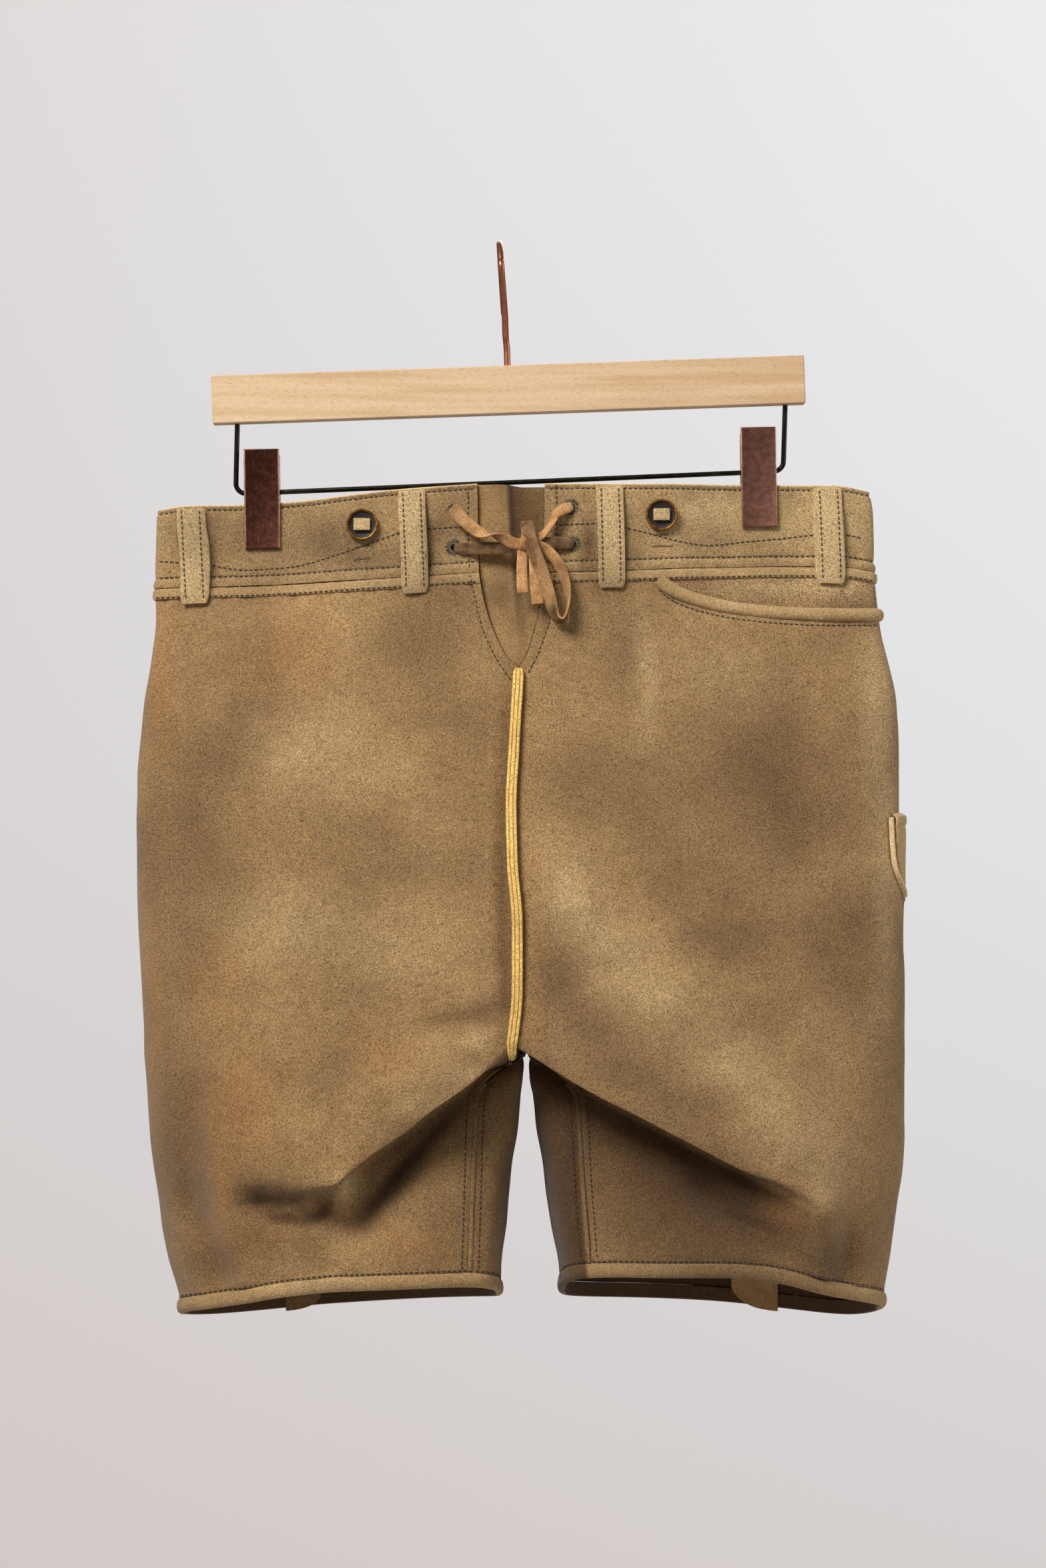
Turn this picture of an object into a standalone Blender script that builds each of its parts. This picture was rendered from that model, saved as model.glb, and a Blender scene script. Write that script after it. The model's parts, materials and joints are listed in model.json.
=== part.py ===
"""Deerskin lederhosen, hung by the waistband from a wooden clip hanger.

Metres, +Z up. The origin is the seat of the hanger's hook, where a rail carries it.
The front faces -Y, and the wearer's left side is at +X. The hanger hangs a little
askew, so the two sides of every outline differ and each table has a column for both.
"""

import math
from collections import namedtuple

import bmesh
import bpy
import numpy as np
from mathutils import Matrix, Vector

NAME = "lederhosen"
SIDES = ("right", "left")
SIGN = {"right": -1.0, "left": 1.0}

# Cloth and fit
GAP = 0.0003
SEAM_GAP = 0.0003
INSEAM_GAP = 0.0009
INSEAM_CORNER_ENDS_Z = -0.5100
PANEL_WALL = 0.0018
BAND_WALL = 0.0024
BAND_STANDS_PROUD = 0.0004

# The garment's own lines
MIDDLE_X = 0.0085
CROTCH_X = 0.0160
CROTCH_Z = -0.4755
FORK_Z = -0.4300
HEM_Z = -0.6200
BINDING_HEIGHT = 0.0085
WELT_WIDTH = 0.0062
WELT_HEIGHT = 0.0034
STRIP_HEIGHT = 0.0062
LOOP_WIDTH = 0.0165
LOOP_WALL = 0.0018
BUTTON_RADIUS = 0.0093
BUTTON_FACE = 0.0024
BUTTON_CLEARANCE = 0.0004
TAB_SIZE = (0.0097, 0.0070, 0.0018)
VENT_WIDTH = 0.0036
LACE_SIZE = (0.0074, 0.0015)
LACE_KNOT_RADII = (0.0070, 0.0036, 0.0058)
LACE_KNOT_CENTRE = (0.0158, -0.0226, -0.1745)

# The hanger
BAR_SIZE = (0.3494, 0.0120, 0.0283)
BAR_CENTRE = (0.0051, 0.0, -0.0844)
TILT = math.radians(-2.0)
CLIP_TILT = 0.4 * TILT
WIRE_RADIUS = 0.0015
HOOK_WIRE_RADIUS = 0.0019
HOOK_INNER_RADIUS = 0.0225
CLIP_SIZE = (0.0209, 0.0022, 0.0590)
JAW = 0.0022
GRIP_FLAT = 0.0140
GRIP_END = 0.0550
GRIP_FADE = 0.0500
GRIP_Z = -0.1800

# Outer silhouette of each side
Outline = namedtuple("Outline", "z right left")
OUTLINE = (
    Outline(-0.1400, -0.2003, 0.2165),
    Outline(-0.1580, -0.2012, 0.2195),
    Outline(-0.1900, -0.2024, 0.2207),
    Outline(-0.2240, -0.2037, 0.2240),
    Outline(-0.2700, -0.2091, 0.2335),
    Outline(-0.3300, -0.2138, 0.2352),
    Outline(-0.4106, -0.2118, 0.2378),
    Outline(-0.4720, -0.2091, 0.2396),
    Outline(-0.5378, -0.2035, 0.2366),
    Outline(-0.5689, -0.1992, 0.2331),
    Outline(-0.6000, -0.1933, 0.2291),
    Outline(-0.6400, -0.1835, 0.2225),
)

# Inner silhouette of each leg, where daylight shows between them
Inner = namedtuple("Inner", "z right left")
INNER = (
    Inner(-0.4300, 0.0126, 0.0193),
    Inner(-0.4956, 0.0118, 0.0200),
    Inner(-0.5452, 0.0079, 0.0255),
    Inner(-0.5732, 0.0050, 0.0291),
    Inner(-0.6000, 0.0020, 0.0338),
    Inner(-0.6400, -0.0025, 0.0400),
)

# How far front and back stand from the hanging plane, and how square the corners are
Depth = namedtuple("Depth", "z front back square inner_square")
DEPTH = (
    Depth(-0.1400, 0.0110, 0.0105, 6.0, 40.0),
    Depth(-0.1900, 0.0150, 0.0160, 4.6, 40.0),
    Depth(-0.2500, 0.0290, 0.0340, 3.5, 40.0),
    Depth(-0.3300, 0.0450, 0.0500, 3.0, 40.0),
    Depth(-0.4100, 0.0580, 0.0580, 2.8, 40.0),
    Depth(-0.4755, 0.0660, 0.0600, 2.6, 10.0),
    Depth(-0.5000, 0.0670, 0.0600, 2.5, 5.0),
    Depth(-0.5400, 0.0650, 0.0600, 2.4, 3.2),
    Depth(-0.6300, 0.0600, 0.0600, 2.3, 2.5),
)

# Cut edges of the two fronts: the laced opening above, the centre seam below
Centre = namedtuple("Centre", "z right left")
CENTRE = (
    Centre(-0.1400, -0.0131, 0.0266),
    Centre(-0.1900, -0.0122, 0.0257),
    Centre(-0.2050, -0.0100, 0.0251),
    Centre(-0.2175, -0.0069, 0.0229),
    Centre(-0.2311, -0.0018, 0.0193),
    Centre(-0.2428, 0.0045, 0.0155),
    Centre(-0.2490, 0.01115, 0.01145),
    Centre(-0.2650, 0.01015, 0.01045),
    Centre(-0.2900, 0.00855, 0.00885),
    Centre(-0.3260, 0.00705, 0.00735),
    Centre(-0.3630, 0.00785, 0.00815),
    Centre(-0.4000, 0.01005, 0.01035),
    Centre(-0.4360, 0.01015, 0.01045),
    Centre(-0.4680, 0.00715, 0.00745),
)

# Inseams, which lie on the front of the legs
Inseam = namedtuple("Inseam", "z right left")
INSEAM = (
    Inseam(-0.4755, 0.0142, 0.0178),
    Inseam(-0.4860, -0.0030, 0.0335),
    Inseam(-0.4980, -0.0130, 0.0450),
    Inseam(-0.5500, -0.0153, 0.0487),
    Inseam(-0.6200, -0.0175, 0.0540),
)

# Side seams, which lie on the back: x at the waist and the hem, and the bulge between
SideSeam = namedtuple("SideSeam", "waist hem bulge")
SIDE_SEAM = {"right": SideSeam(-0.1516, -0.1255, -0.0170),
             "left": SideSeam(0.1705, 0.1645, 0.0135)}
SIDE_SEAM_Z = (-0.170, -0.620)

# The crotch seam as it runs under, from the centre back to the crotch point
Crotch = namedtuple("Crotch", "y z")
CROTCH = (
    Crotch(0.0570, -0.4300),
    Crotch(0.0500, -0.4460),
    Crotch(0.0390, -0.4570),
    Crotch(0.0210, -0.4650),
    Crotch(-0.0040, -0.4710),
    Crotch(-0.0320, -0.4755),
)

# Top and bottom of the waistband, from the fly (0) to the side fold (1)
Band = namedtuple("Band", "part right_top right_bottom left_top left_bottom")
BAND = (
    Band(0.00, -0.1402, -0.1926, -0.1401, -0.1926),
    Band(0.25, -0.1436, -0.1956, -0.1401, -0.1913),
    Band(0.50, -0.1490, -0.1985, -0.1403, -0.1895),
    Band(0.70, -0.1518, -0.2004, -0.1405, -0.1886),
    Band(0.90, -0.1530, -0.2014, -0.1412, -0.1892),
    Band(1.00, -0.1555, -0.2019, -0.1445, -0.1920),
)
BackLine = namedtuple("BackLine", "x top bottom")
BACK_LINE = (
    BackLine(-0.2000, -0.1560, -0.2022),
    BackLine(0.0000, -0.1490, -0.1975),
    BackLine(0.2200, -0.1450, -0.1925),
)

# The big drape folds: the front bellies out above each lip and tucks in below it
Lip = namedtuple("Lip", "part z tuck belly")
LIPS = {
    "right": (
        Lip(0.00, -0.4680, 0.040, 0.006),
        Lip(0.10, -0.4870, 0.040, 0.008),
        Lip(0.21, -0.5020, 0.040, 0.010),
        Lip(0.35, -0.5250, 0.034, 0.010),
        Lip(0.45, -0.5430, 0.022, 0.009),
        Lip(0.56, -0.5550, 0.025, 0.007),
        Lip(0.67, -0.5590, 0.014, 0.005),
        Lip(0.78, -0.5600, 0.003, 0.002),
        Lip(1.00, -0.5580, 0.000, 0.000),
    ),
    "left": (
        Lip(0.00, -0.4680, 0.040, 0.006),
        Lip(0.16, -0.4900, 0.038, 0.009),
        Lip(0.31, -0.5080, 0.036, 0.010),
        Lip(0.50, -0.5310, 0.027, 0.010),
        Lip(0.66, -0.5490, 0.014, 0.008),
        Lip(0.80, -0.5660, 0.004, 0.004),
        Lip(1.00, -0.5780, 0.000, 0.000),
    ),
}
LIP_RADIUS = 0.0040
INNER_FRONT_LIMIT = 0.93
LIP_FULL_TUCK = 0.0120
BELLY_HEIGHT = 0.0450

# Lower edge of each leg's binding, by the angle round the leg: outside 0, front 90
Hem = namedtuple("Hem", "angle right left")
HEM = (
    Hem(0, -0.6297, -0.6262),
    Hem(45, -0.6200, -0.6150),
    Hem(90, -0.6085, -0.6003),
    Hem(130, -0.6070, -0.6010),
    Hem(180, -0.6183, -0.6165),
    Hem(225, -0.6255, -0.6255),
    Hem(270, -0.6310, -0.6300),
    Hem(315, -0.6350, -0.6355),
    Hem(360, -0.6297, -0.6262),
)

# Soft creases and ridges: a line, its width, and how deep it is pressed in
Crease = namedtuple("Crease", "face x0 z0 x1 z1 width press")
CREASES = (
    Crease("front", -0.181, -0.500, -0.182, -0.560, 0.010, 0.0040),
    Crease("front", -0.182, -0.560, -0.164, -0.598, 0.010, 0.0050),
    Crease("front", -0.166, -0.520, -0.150, -0.600, 0.010, -0.0030),
    Crease("front", -0.040, -0.514, -0.084, -0.566, 0.013, 0.0050),
    Crease("front", 0.185, -0.562, 0.181, -0.592, 0.009, 0.0040),
    Crease("front", 0.166, -0.566, 0.160, -0.592, 0.010, -0.0030),
    Crease("front", 0.070, -0.230, 0.110, -0.330, 0.022, 0.0015),
    Crease("front", -0.060, -0.215, -0.075, -0.300, 0.022, 0.0012),
    Crease("back", -0.040, -0.455, -0.150, -0.490, 0.016, 0.0060),
    Crease("back", 0.055, -0.455, 0.170, -0.500, 0.016, 0.0060),
    Crease("back", -0.060, -0.430, -0.150, -0.452, 0.020, -0.0040),
    Crease("back", 0.070, -0.430, 0.165, -0.458, 0.020, -0.0040),
    Crease("back", -0.110, -0.520, -0.135, -0.590, 0.018, 0.0030),
    Crease("back", 0.125, -0.525, 0.150, -0.590, 0.018, 0.0030),
)

# The curved pocket's piping, on the wearer's left front
Pocket = namedtuple("Pocket", "x z")
POCKET = (
    Pocket(0.0895, -0.1915),
    Pocket(0.0963, -0.1996),
    Pocket(0.1053, -0.2051),
    Pocket(0.1205, -0.2102),
    Pocket(0.1373, -0.2137),
    Pocket(0.1612, -0.2164),
    Pocket(0.1901, -0.2176),
    Pocket(0.2400, -0.2170),
)

# Columns of a front panel: share of the way to the side fold, then round to the side seam
FRONT_PARTS = (0, 0.07, 0.14, 0.21, 0.28, 0.35, 0.42, 0.49, 0.56, 0.63, 0.70, 0.77, 0.83,
               0.88, 0.925, 0.96, 0.983, 0.996, 1.0)
WRAP_PARTS = (0.010, 0.045, 0.12, 0.24, 0.42, 0.70, 0.95, 1.0)
FOLD_COLUMN = len(FRONT_PARTS) - 1
SEAM_COLUMN = FOLD_COLUMN + len(WRAP_PARTS)
TRUNK_ROWS = (0, 0.024, 0.06, 0.12, 0.20, 0.29, 0.39, 0.50, 0.61, 0.72, 0.82, 0.90, 0.96, 1)
CURL_ROWS = 4
LEG_ROWS = 9
BACK_PARTS = (0, 0.008, 0.05, 0.11, 0.17, 0.23, 0.29, 0.35, 0.41, 0.47, 0.53, 0.59, 0.65, 0.70,
              0.75, 0.80, 0.85, 0.90, 0.95, 0.99, 1)
BAND_ROWS = (0, 0.56, 0.78, 1)
BACK_ROWS = (0, 0.027, 0.065, 0.13, 0.21, 0.31, 0.42, 0.55, 0.70, 0.85, 1)

CLIP_X = {"right": -0.1400, "left": 0.1527}
CLIP_TOP_Z = {"right": -0.1193, "left": -0.1063}
WIRE_X = {"right": -0.1556, "left": 0.1675}
WIRE_MIDDLE_Z = -0.1386
WIRE_SLOPE = 0.0405
WIRE_BEND = 0.0060
WIRE_IN_BAR = (-0.1605, 0.1630)


# ---------------------------------------------------------------- reading the tables

def read(table, column, at, key="z"):
    """Value of one column at `at`, on a smooth curve that never overshoots its rows."""
    rows = sorted(table, key=lambda row: getattr(row, key))
    known = np.array([getattr(row, key) for row in rows], float)
    value = np.array([getattr(row, column) for row in rows], float)
    width = np.diff(known)
    secant = np.diff(value) / width
    slope = np.zeros_like(value)
    slope[0], slope[-1] = secant[0], secant[-1]
    for i in range(1, len(value) - 1):
        before, after = secant[i - 1], secant[i]
        if before * after > 0:
            slope[i] = 2 * before * after / (before + after)
    at = np.clip(np.asarray(at, float), known[0], known[-1])
    i = np.clip(np.searchsorted(known, at, side="right") - 1, 0, len(width) - 1)
    t = (at - known[i]) / width[i]
    return ((1 + 2 * t) * (1 - t) ** 2 * value[i] + t * (1 - t) ** 2 * width[i] * slope[i]
            + t * t * (3 - 2 * t) * value[i + 1] + t * t * (t - 1) * width[i] * slope[i + 1])


def ease(start, end, at):
    """0 before start, 1 after end, smooth between them."""
    t = np.clip((np.asarray(at, float) - start) / (end - start), 0, 1)
    return t * t * (3 - 2 * t)


def mix(a, b, share):
    return a + (b - a) * share


def rounded(part, square):
    """A superellipse quarter: 1 in the middle, 0 at the edge."""
    return (1 - np.clip(part, 0, 1) ** square) ** (1 / square)


# ---------------------------------------------------------------- the garment's surface

def fullness(side, x, z, leg):
    """Share of the full depth that the wall keeps at x, across the trunk or one leg."""
    edge = read(OUTLINE, side, z)
    square = read(DEPTH, "square", z)
    trunk = rounded(np.abs((x - MIDDLE_X) / (edge - MIDDLE_X)), square)
    inner = read(INNER, side, z)
    centre = (edge + inner) / 2
    part = (x - centre) / (edge - centre)
    share = ease(-0.44, -0.53, z)
    outer = mix(trunk, rounded(np.abs(part), square), share)
    if leg:
        inside = np.clip(-part, 0, INNER_FRONT_LIMIT)
        round_inside = rounded(inside, read(DEPTH, "inner_square", z))
    else:
        round_inside = 1.0
    return np.where(part > 0, outer, mix(trunk, 1.0, share) * round_inside)


def pressed(face, x, z):
    """How far the creases press the wall in here."""
    total = 0.0
    for crease in CREASES:
        if crease.face != face:
            continue
        run_x, run_z = crease.x1 - crease.x0, crease.z1 - crease.z0
        length = math.hypot(run_x, run_z)
        along = ((x - crease.x0) * run_x + (z - crease.z0) * run_z) / length
        across = ((x - crease.x0) * run_z - (z - crease.z0) * run_x) / length
        past = np.maximum(np.maximum(-along, along - length), 0)
        total = total + crease.press * np.exp(-(across / crease.width) ** 2
                                              - (past / (1.6 * crease.width)) ** 2)
    return total


def wall_y(face, side, x, z, leg=False):
    """Outer face of the cloth, front or back, with the clips' pinch and the creases."""
    depth = read(DEPTH, face, z) * fullness(side, x, z, leg)
    reach = np.abs(x - CLIP_X[side])
    grip = (1 - ease(GRIP_FLAT, GRIP_END, reach)) * ease(GRIP_Z - GRIP_FADE, GRIP_Z, z)
    depth = mix(depth, JAW, grip)
    depth = depth - pressed(face, x, z) * np.clip(depth / 0.02, 0, 1)
    return -depth if face == "front" else depth


def column_parts(column):
    """(share of the way from the front edge to the side fold, share from there to the seam)"""
    at = np.asarray(column, float)
    front = np.interp(at, range(FOLD_COLUMN + 1), FRONT_PARTS)
    wrap = np.interp(at, range(FOLD_COLUMN, SEAM_COLUMN + 1), (0,) + WRAP_PARTS)
    return front, wrap


def seam_x(side, z):
    seam = SIDE_SEAM[side]
    t = (np.asarray(z, float) - SIDE_SEAM_Z[0]) / (SIDE_SEAM_Z[1] - SIDE_SEAM_Z[0])
    return mix(seam.waist, seam.hem, t) + seam.bulge * 4 * t * (1 - t)


def front_x(side, column, z, inner_edge):
    front, wrap = column_parts(column)
    fold = read(OUTLINE, side, z)
    seam = seam_x(side, z) + SIGN[side] * SEAM_GAP
    return np.where(wrap > 0, mix(fold, seam, wrap), mix(inner_edge, fold, front))


def sheet_y(side, column, x, z, leg):
    """Depth at a front panel's column, which is on the back once it has wrapped round."""
    wrap = column_parts(column)[1]
    return np.where(wrap > 0, wall_y("back", side, x, z, leg), wall_y("front", side, x, z, leg))


def trunk_front(side, column, z):
    """A point of a front panel above its lip, by column and height."""
    x = front_x(side, column, z, read(CENTRE, side, z))
    front, wrap = column_parts(column)
    lips = LIPS[side]
    above = (z - read(lips, "z", front, "part")) / BELLY_HEIGHT
    belly = read(lips, "belly", front, "part") * np.exp(-np.maximum(above, 0) ** 2)
    y = sheet_y(side, column, x, z, False) - np.where(wrap > 0, 0, belly)
    return np.stack(np.broadcast_arrays(x, y, z), -1)


def raised(side, column, z, out):
    """A point moved out from a front panel's outer face, along its normal."""
    column, z, out = np.broadcast_arrays(*(np.asarray(v, float) for v in (column, z, out)))
    step = 0.05
    across = trunk_front(side, column + step, z) - trunk_front(side, column - step, z)
    down = trunk_front(side, column, z - 0.001) - trunk_front(side, column, z + 0.001)
    normal = np.cross(across, down) * -SIGN[side]
    normal /= np.linalg.norm(normal, axis=-1, keepdims=True)
    return trunk_front(side, column, z) + normal * out[..., None]


def column_at(side, x, z):
    """The column on the front whose surface is at x."""
    inner = float(read(CENTRE, side, z))
    fold = float(read(OUTLINE, side, z))
    return float(np.interp((x - inner) / (fold - inner), FRONT_PARTS, range(FOLD_COLUMN + 1)))


def back_point(x, z, out=0.0):
    """A point of the back above the fork, moved out from its face."""
    x, z = np.broadcast_arrays(np.asarray(x, float), np.asarray(z, float))
    y = np.where(x < MIDDLE_X, wall_y("back", "right", x, z), wall_y("back", "left", x, z))
    near = np.where(x < MIDDLE_X, wall_y("back", "right", x - 0.001, z),
                    wall_y("back", "left", x - 0.001, z))
    high = np.where(x < MIDDLE_X, wall_y("back", "right", x, z + 0.001),
                    wall_y("back", "left", x, z + 0.001))
    normal = np.stack([-(y - near) / 0.001, np.ones_like(y), -(high - y) / 0.001], -1)
    normal /= np.linalg.norm(normal, axis=-1, keepdims=True)
    return np.stack([x, y, z], -1) + normal * out


def inseam_point(side, z):
    x = read(INSEAM, side, z)
    top = float(inseam_start_y(side))
    plain = wall_y("front", side, x, z, True)
    plain_top = float(wall_y("front", side, read(INSEAM, side, CROTCH_Z), CROTCH_Z, True))
    share = tuck_left((CROTCH_Z - z) / (CROTCH_Z - hem_z(side, x, plain)))
    return np.stack(np.broadcast_arrays(x, plain + (top - plain_top) * share, z), -1)


def inseam_start_y(side):
    lips = LIPS[side]
    x = read(CENTRE, side, lips[0].z)
    return wall_y("front", side, x, lips[0].z) - lips[0].belly + lips[0].tuck


def tuck_left(t):
    """How much of a fold's tuck is left, t of the way from the lip to the hem."""
    return (1 - np.clip(t, 0, 1)) ** 1.5


def hem_angle(side, x, y):
    edge, inner = read(OUTLINE, side, HEM_Z), read(INNER, side, HEM_Z)
    depth = np.where(y < 0, read(DEPTH, "front", HEM_Z), read(DEPTH, "back", HEM_Z))
    part = (x - (edge + inner) / 2) / ((edge - inner) / 2)
    return np.degrees(np.arctan2(-y / depth, part)) % 360


def hem_z(side, x, y):
    """Lower edge of a leg's panels here, where the binding begins."""
    return read(HEM, side, hem_angle(side, x, y), "angle") + BINDING_HEIGHT + GAP


def band_line(side, column, which):
    """Top or bottom of the waistband at a front panel's column."""
    front, wrap = column_parts(column)
    at_front = read(BAND, f"{side}_{which}", front, "part")
    seam = seam_x(side, -0.17)
    return mix(at_front, read(BACK_LINE, which, seam, "x"), wrap)


def pocket_z(x):
    return read(POCKET, "z", x, "x")


def panel_top(side, column):
    """Upper edge of a front panel: under the band, or along the pocket's curve."""
    top = band_line(side, column, "bottom") - GAP
    if side == "right":
        return top
    x = front_x(side, column, -0.200, read(CENTRE, side, -0.200))
    wrap = column_parts(column)[1]
    curve = np.where(wrap > 0, pocket_z(0.24), pocket_z(x))
    return np.where(x < POCKET[0].x, np.where(wrap > 0, curve, top), np.minimum(top, curve))


# ---------------------------------------------------------------- meshes

def parts_collection():
    found = bpy.data.collections.new(NAME)
    bpy.context.scene.collection.children.link(found)
    return found


def clear_scene():
    for obj in list(bpy.data.objects):
        bpy.data.objects.remove(obj, do_unlink=True)


def material(name, colour, roughness=0.9, metallic=0.0):
    made = bpy.data.materials.get(name)
    if made:
        return made
    made = bpy.data.materials.new(name)
    made.use_nodes = True
    shader = made.node_tree.nodes["Principled BSDF"]
    shader.inputs["Base Color"].default_value = (*colour, 1.0)
    shader.inputs["Roughness"].default_value = roughness
    shader.inputs["Metallic"].default_value = metallic
    made.diffuse_color = (*colour, 1.0)
    return made


def suede():
    return material("suede", (0.33, 0.24, 0.12))


def cut_edge():
    return material("cut_edge", (0.72, 0.50, 0.20))


def steel():
    return material("bronzed_steel", (0.03, 0.03, 0.025), 0.35, 0.9)


def copper():
    return material("aged_copper", (0.16, 0.06, 0.04), 0.4, 0.9)


def horn():
    return material("horn", (0.03, 0.02, 0.02), 0.4)


def thong():
    return material("lace_leather", (0.46, 0.28, 0.14))


def add_object(name, mesh, finish):
    obj = bpy.data.objects.new(name, mesh)
    PARTS.objects.link(obj)
    mesh.materials.append(finish)
    mesh.shade_smooth()
    mesh.set_sharp_from_angle(angle=math.radians(50))
    return obj


def grid_mesh(name, points, flip, closed=False):
    """A grid of rows and columns with its points put in place."""
    rows, columns = points.shape[:2]
    bm = bmesh.new()
    bmesh.ops.create_grid(bm, x_segments=columns - 1, y_segments=rows - 1, size=0.5)
    for vert in bm.verts:
        column = round((vert.co.x + 0.5) * (columns - 1))
        row = round((0.5 - vert.co.y) * (rows - 1))
        vert.co = points[row, column]
    if closed:
        bmesh.ops.remove_doubles(bm, verts=bm.verts, dist=1e-6)
        rims = [edge for edge in bm.edges if edge.is_boundary]
        bmesh.ops.holes_fill(bm, edges=rims, sides=0)
        bmesh.ops.recalc_face_normals(bm, faces=bm.faces)
    elif flip:
        bmesh.ops.reverse_faces(bm, faces=bm.faces)
    mesh = bpy.data.meshes.new(name)
    bm.to_mesh(mesh)
    bm.free()
    return mesh


def sheet(name, points, wall, finish, flip):
    """A cloth piece from its outer face, thickened inwards."""
    obj = add_object(name, grid_mesh(name, np.asarray(points, float), flip), finish)
    shell = obj.modifiers.new("Thickness", "SOLIDIFY")
    shell.thickness = wall
    shell.offset = -1.0
    return obj


def swept(name, centres, outward, profile, finish, closed=False):
    """A trim: the profile (across, out) carried along a line, closed at both ends."""
    centres = np.asarray(centres, float)
    outward = np.asarray(outward, float)
    if closed:
        run = np.roll(centres, -1, axis=0) - np.roll(centres, 1, axis=0)
    else:
        run = np.gradient(centres, axis=0)
    run /= np.linalg.norm(run, axis=1, keepdims=True)
    outward = outward - run * (outward * run).sum(1, keepdims=True)
    outward /= np.linalg.norm(outward, axis=1, keepdims=True)
    across = np.cross(run, outward)
    shape = np.array(list(profile) + [profile[0]], float)
    points = (centres[:, None] + across[:, None] * shape[None, :, :1]
              + outward[:, None] * shape[None, :, 1:])
    return add_object(name, grid_mesh(name, points, False, closed=True), finish)


def turned(name, profile, steps, place, finish):
    """A turned shape from its (radius, height) profile, then put in place."""
    mesh = bpy.data.meshes.new(name)
    bm = bmesh.new()
    verts = [bm.verts.new((radius, 0.0, height)) for radius, height in profile]
    for start, end in zip(verts, verts[1:]):
        bm.edges.new((start, end))
    bmesh.ops.spin(bm, geom=bm.verts[:] + bm.edges[:], cent=(0, 0, 0), axis=(0, 0, 1),
                   angle=math.tau, steps=steps, use_merge=True, use_duplicate=False)
    bmesh.ops.remove_doubles(bm, verts=bm.verts, dist=1e-6)
    rims = [edge for edge in bm.edges if edge.is_boundary]
    if rims:
        bmesh.ops.holes_fill(bm, edges=rims, sides=0)
    bmesh.ops.recalc_face_normals(bm, faces=bm.faces)
    bm.transform(place)
    bm.to_mesh(mesh)
    bm.free()
    return add_object(name, mesh, finish)


def wire(name, points, radius, finish):
    """A round wire along its points."""
    curve = bpy.data.curves.new(name, "CURVE")
    curve.dimensions = "3D"
    curve.bevel_depth = radius
    curve.bevel_resolution = 2
    curve.use_fill_caps = True
    spline = curve.splines.new("POLY")
    spline.points.add(len(points) - 1)
    for point, place in zip(spline.points, points):
        point.co = (*place, 1.0)
    curve.materials.append(finish)
    obj = bpy.data.objects.new(name, curve)
    PARTS.objects.link(obj)
    return obj


def block(name, low, high, finish, bevel=0.0, turn=0.0):
    """A rectangular piece between two corners, turned about its centre in the hanging plane."""
    low, high = Vector(low), Vector(high)
    bm = bmesh.new()
    bmesh.ops.create_cube(bm, size=1.0)
    bm.transform(Matrix.Diagonal((*(high - low), 1.0)))
    if bevel:
        bmesh.ops.bevel(bm, geom=bm.edges[:], offset=bevel, segments=1, affect="EDGES")
    place = Matrix.Translation((low + high) / 2) @ Matrix.Rotation(turn, 4, "Y")
    bm.transform(place)
    mesh = bpy.data.meshes.new(name)
    bm.to_mesh(mesh)
    bm.free()
    return add_object(name, mesh, finish)


# ---------------------------------------------------------------- panels

def front_panel(side):
    """One front: the trunk down to the lip, the curl under it, and the leg below."""
    columns = np.arange(SEAM_COLUMN + 1, dtype=float)
    front, wrap = column_parts(columns)
    lips = LIPS[side]
    lip_z = read(lips, "z", front, "part")
    tuck = read(lips, "tuck", front, "part")
    folded = ease(0, LIP_FULL_TUCK, tuck)
    first_z = lip_z + mix(0.012, LIP_RADIUS, folded)
    top = panel_top(side, columns)
    rows = [trunk_front(side, columns, mix(top, first_z, t))
            for t in TRUNK_ROWS]
    last = rows[-1]

    valley_z = lip_z + mix(-0.0075, 0.0020, ease(0, 0.15, front))
    start_z = mix(lip_z - 0.012, valley_z, folded)
    start_x = front_x(side, columns, start_z, read(INSEAM, side, start_z))
    plain_start = sheet_y(side, columns, start_x, start_z, True)
    start_y = mix(plain_start, last[:, 1] + tuck, folded)
    curl = ((0.29, 0.0, -0.71), (1.0, 0.0, -1.0), (0.0, 0.55, -0.6))
    for k, (radii, tucks, drop) in enumerate(curl, 1):
        plain_z = mix(first_z, start_z, k / CURL_ROWS)
        x = mix(last[:, 0], start_x, k / CURL_ROWS)
        plain_y = sheet_y(side, columns, x, plain_z, True)
        curled_y = last[:, 1] + LIP_RADIUS * radii + tuck * tucks
        z = mix(plain_z, first_z + LIP_RADIUS * drop, folded)
        rows.append(np.stack([x, mix(plain_y, curled_y, folded), z], -1))
    offset = start_y - plain_start
    hem_x = front_x(side, columns, HEM_Z, read(INSEAM, side, HEM_Z))
    end_z = hem_z(side, hem_x, sheet_y(side, columns, hem_x, HEM_Z, True))
    for t in np.linspace(0, 1, LEG_ROWS + 1):
        z = mix(start_z, end_z, t)
        x = front_x(side, columns, z, read(INSEAM, side, z) + SIGN[side] * INSEAM_GAP)
        y = sheet_y(side, columns, x, z, True) + offset * tuck_left(t)
        rows.append(np.stack([x, y, z], -1))
    sheet(f"front_{side}", np.array(rows), PANEL_WALL, suede(), flip=side == "right")
    return rows[-1]


def along(points, shares):
    """Points at the given shares of a line's length."""
    points = np.asarray(points, float)
    steps = np.linalg.norm(np.diff(points, axis=0), axis=1)
    reach = np.concatenate([[0], np.cumsum(steps)])
    at = np.asarray(shares) * reach[-1]
    return np.stack([np.interp(at, reach, points[:, i]) for i in range(points.shape[1])], -1)


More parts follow.
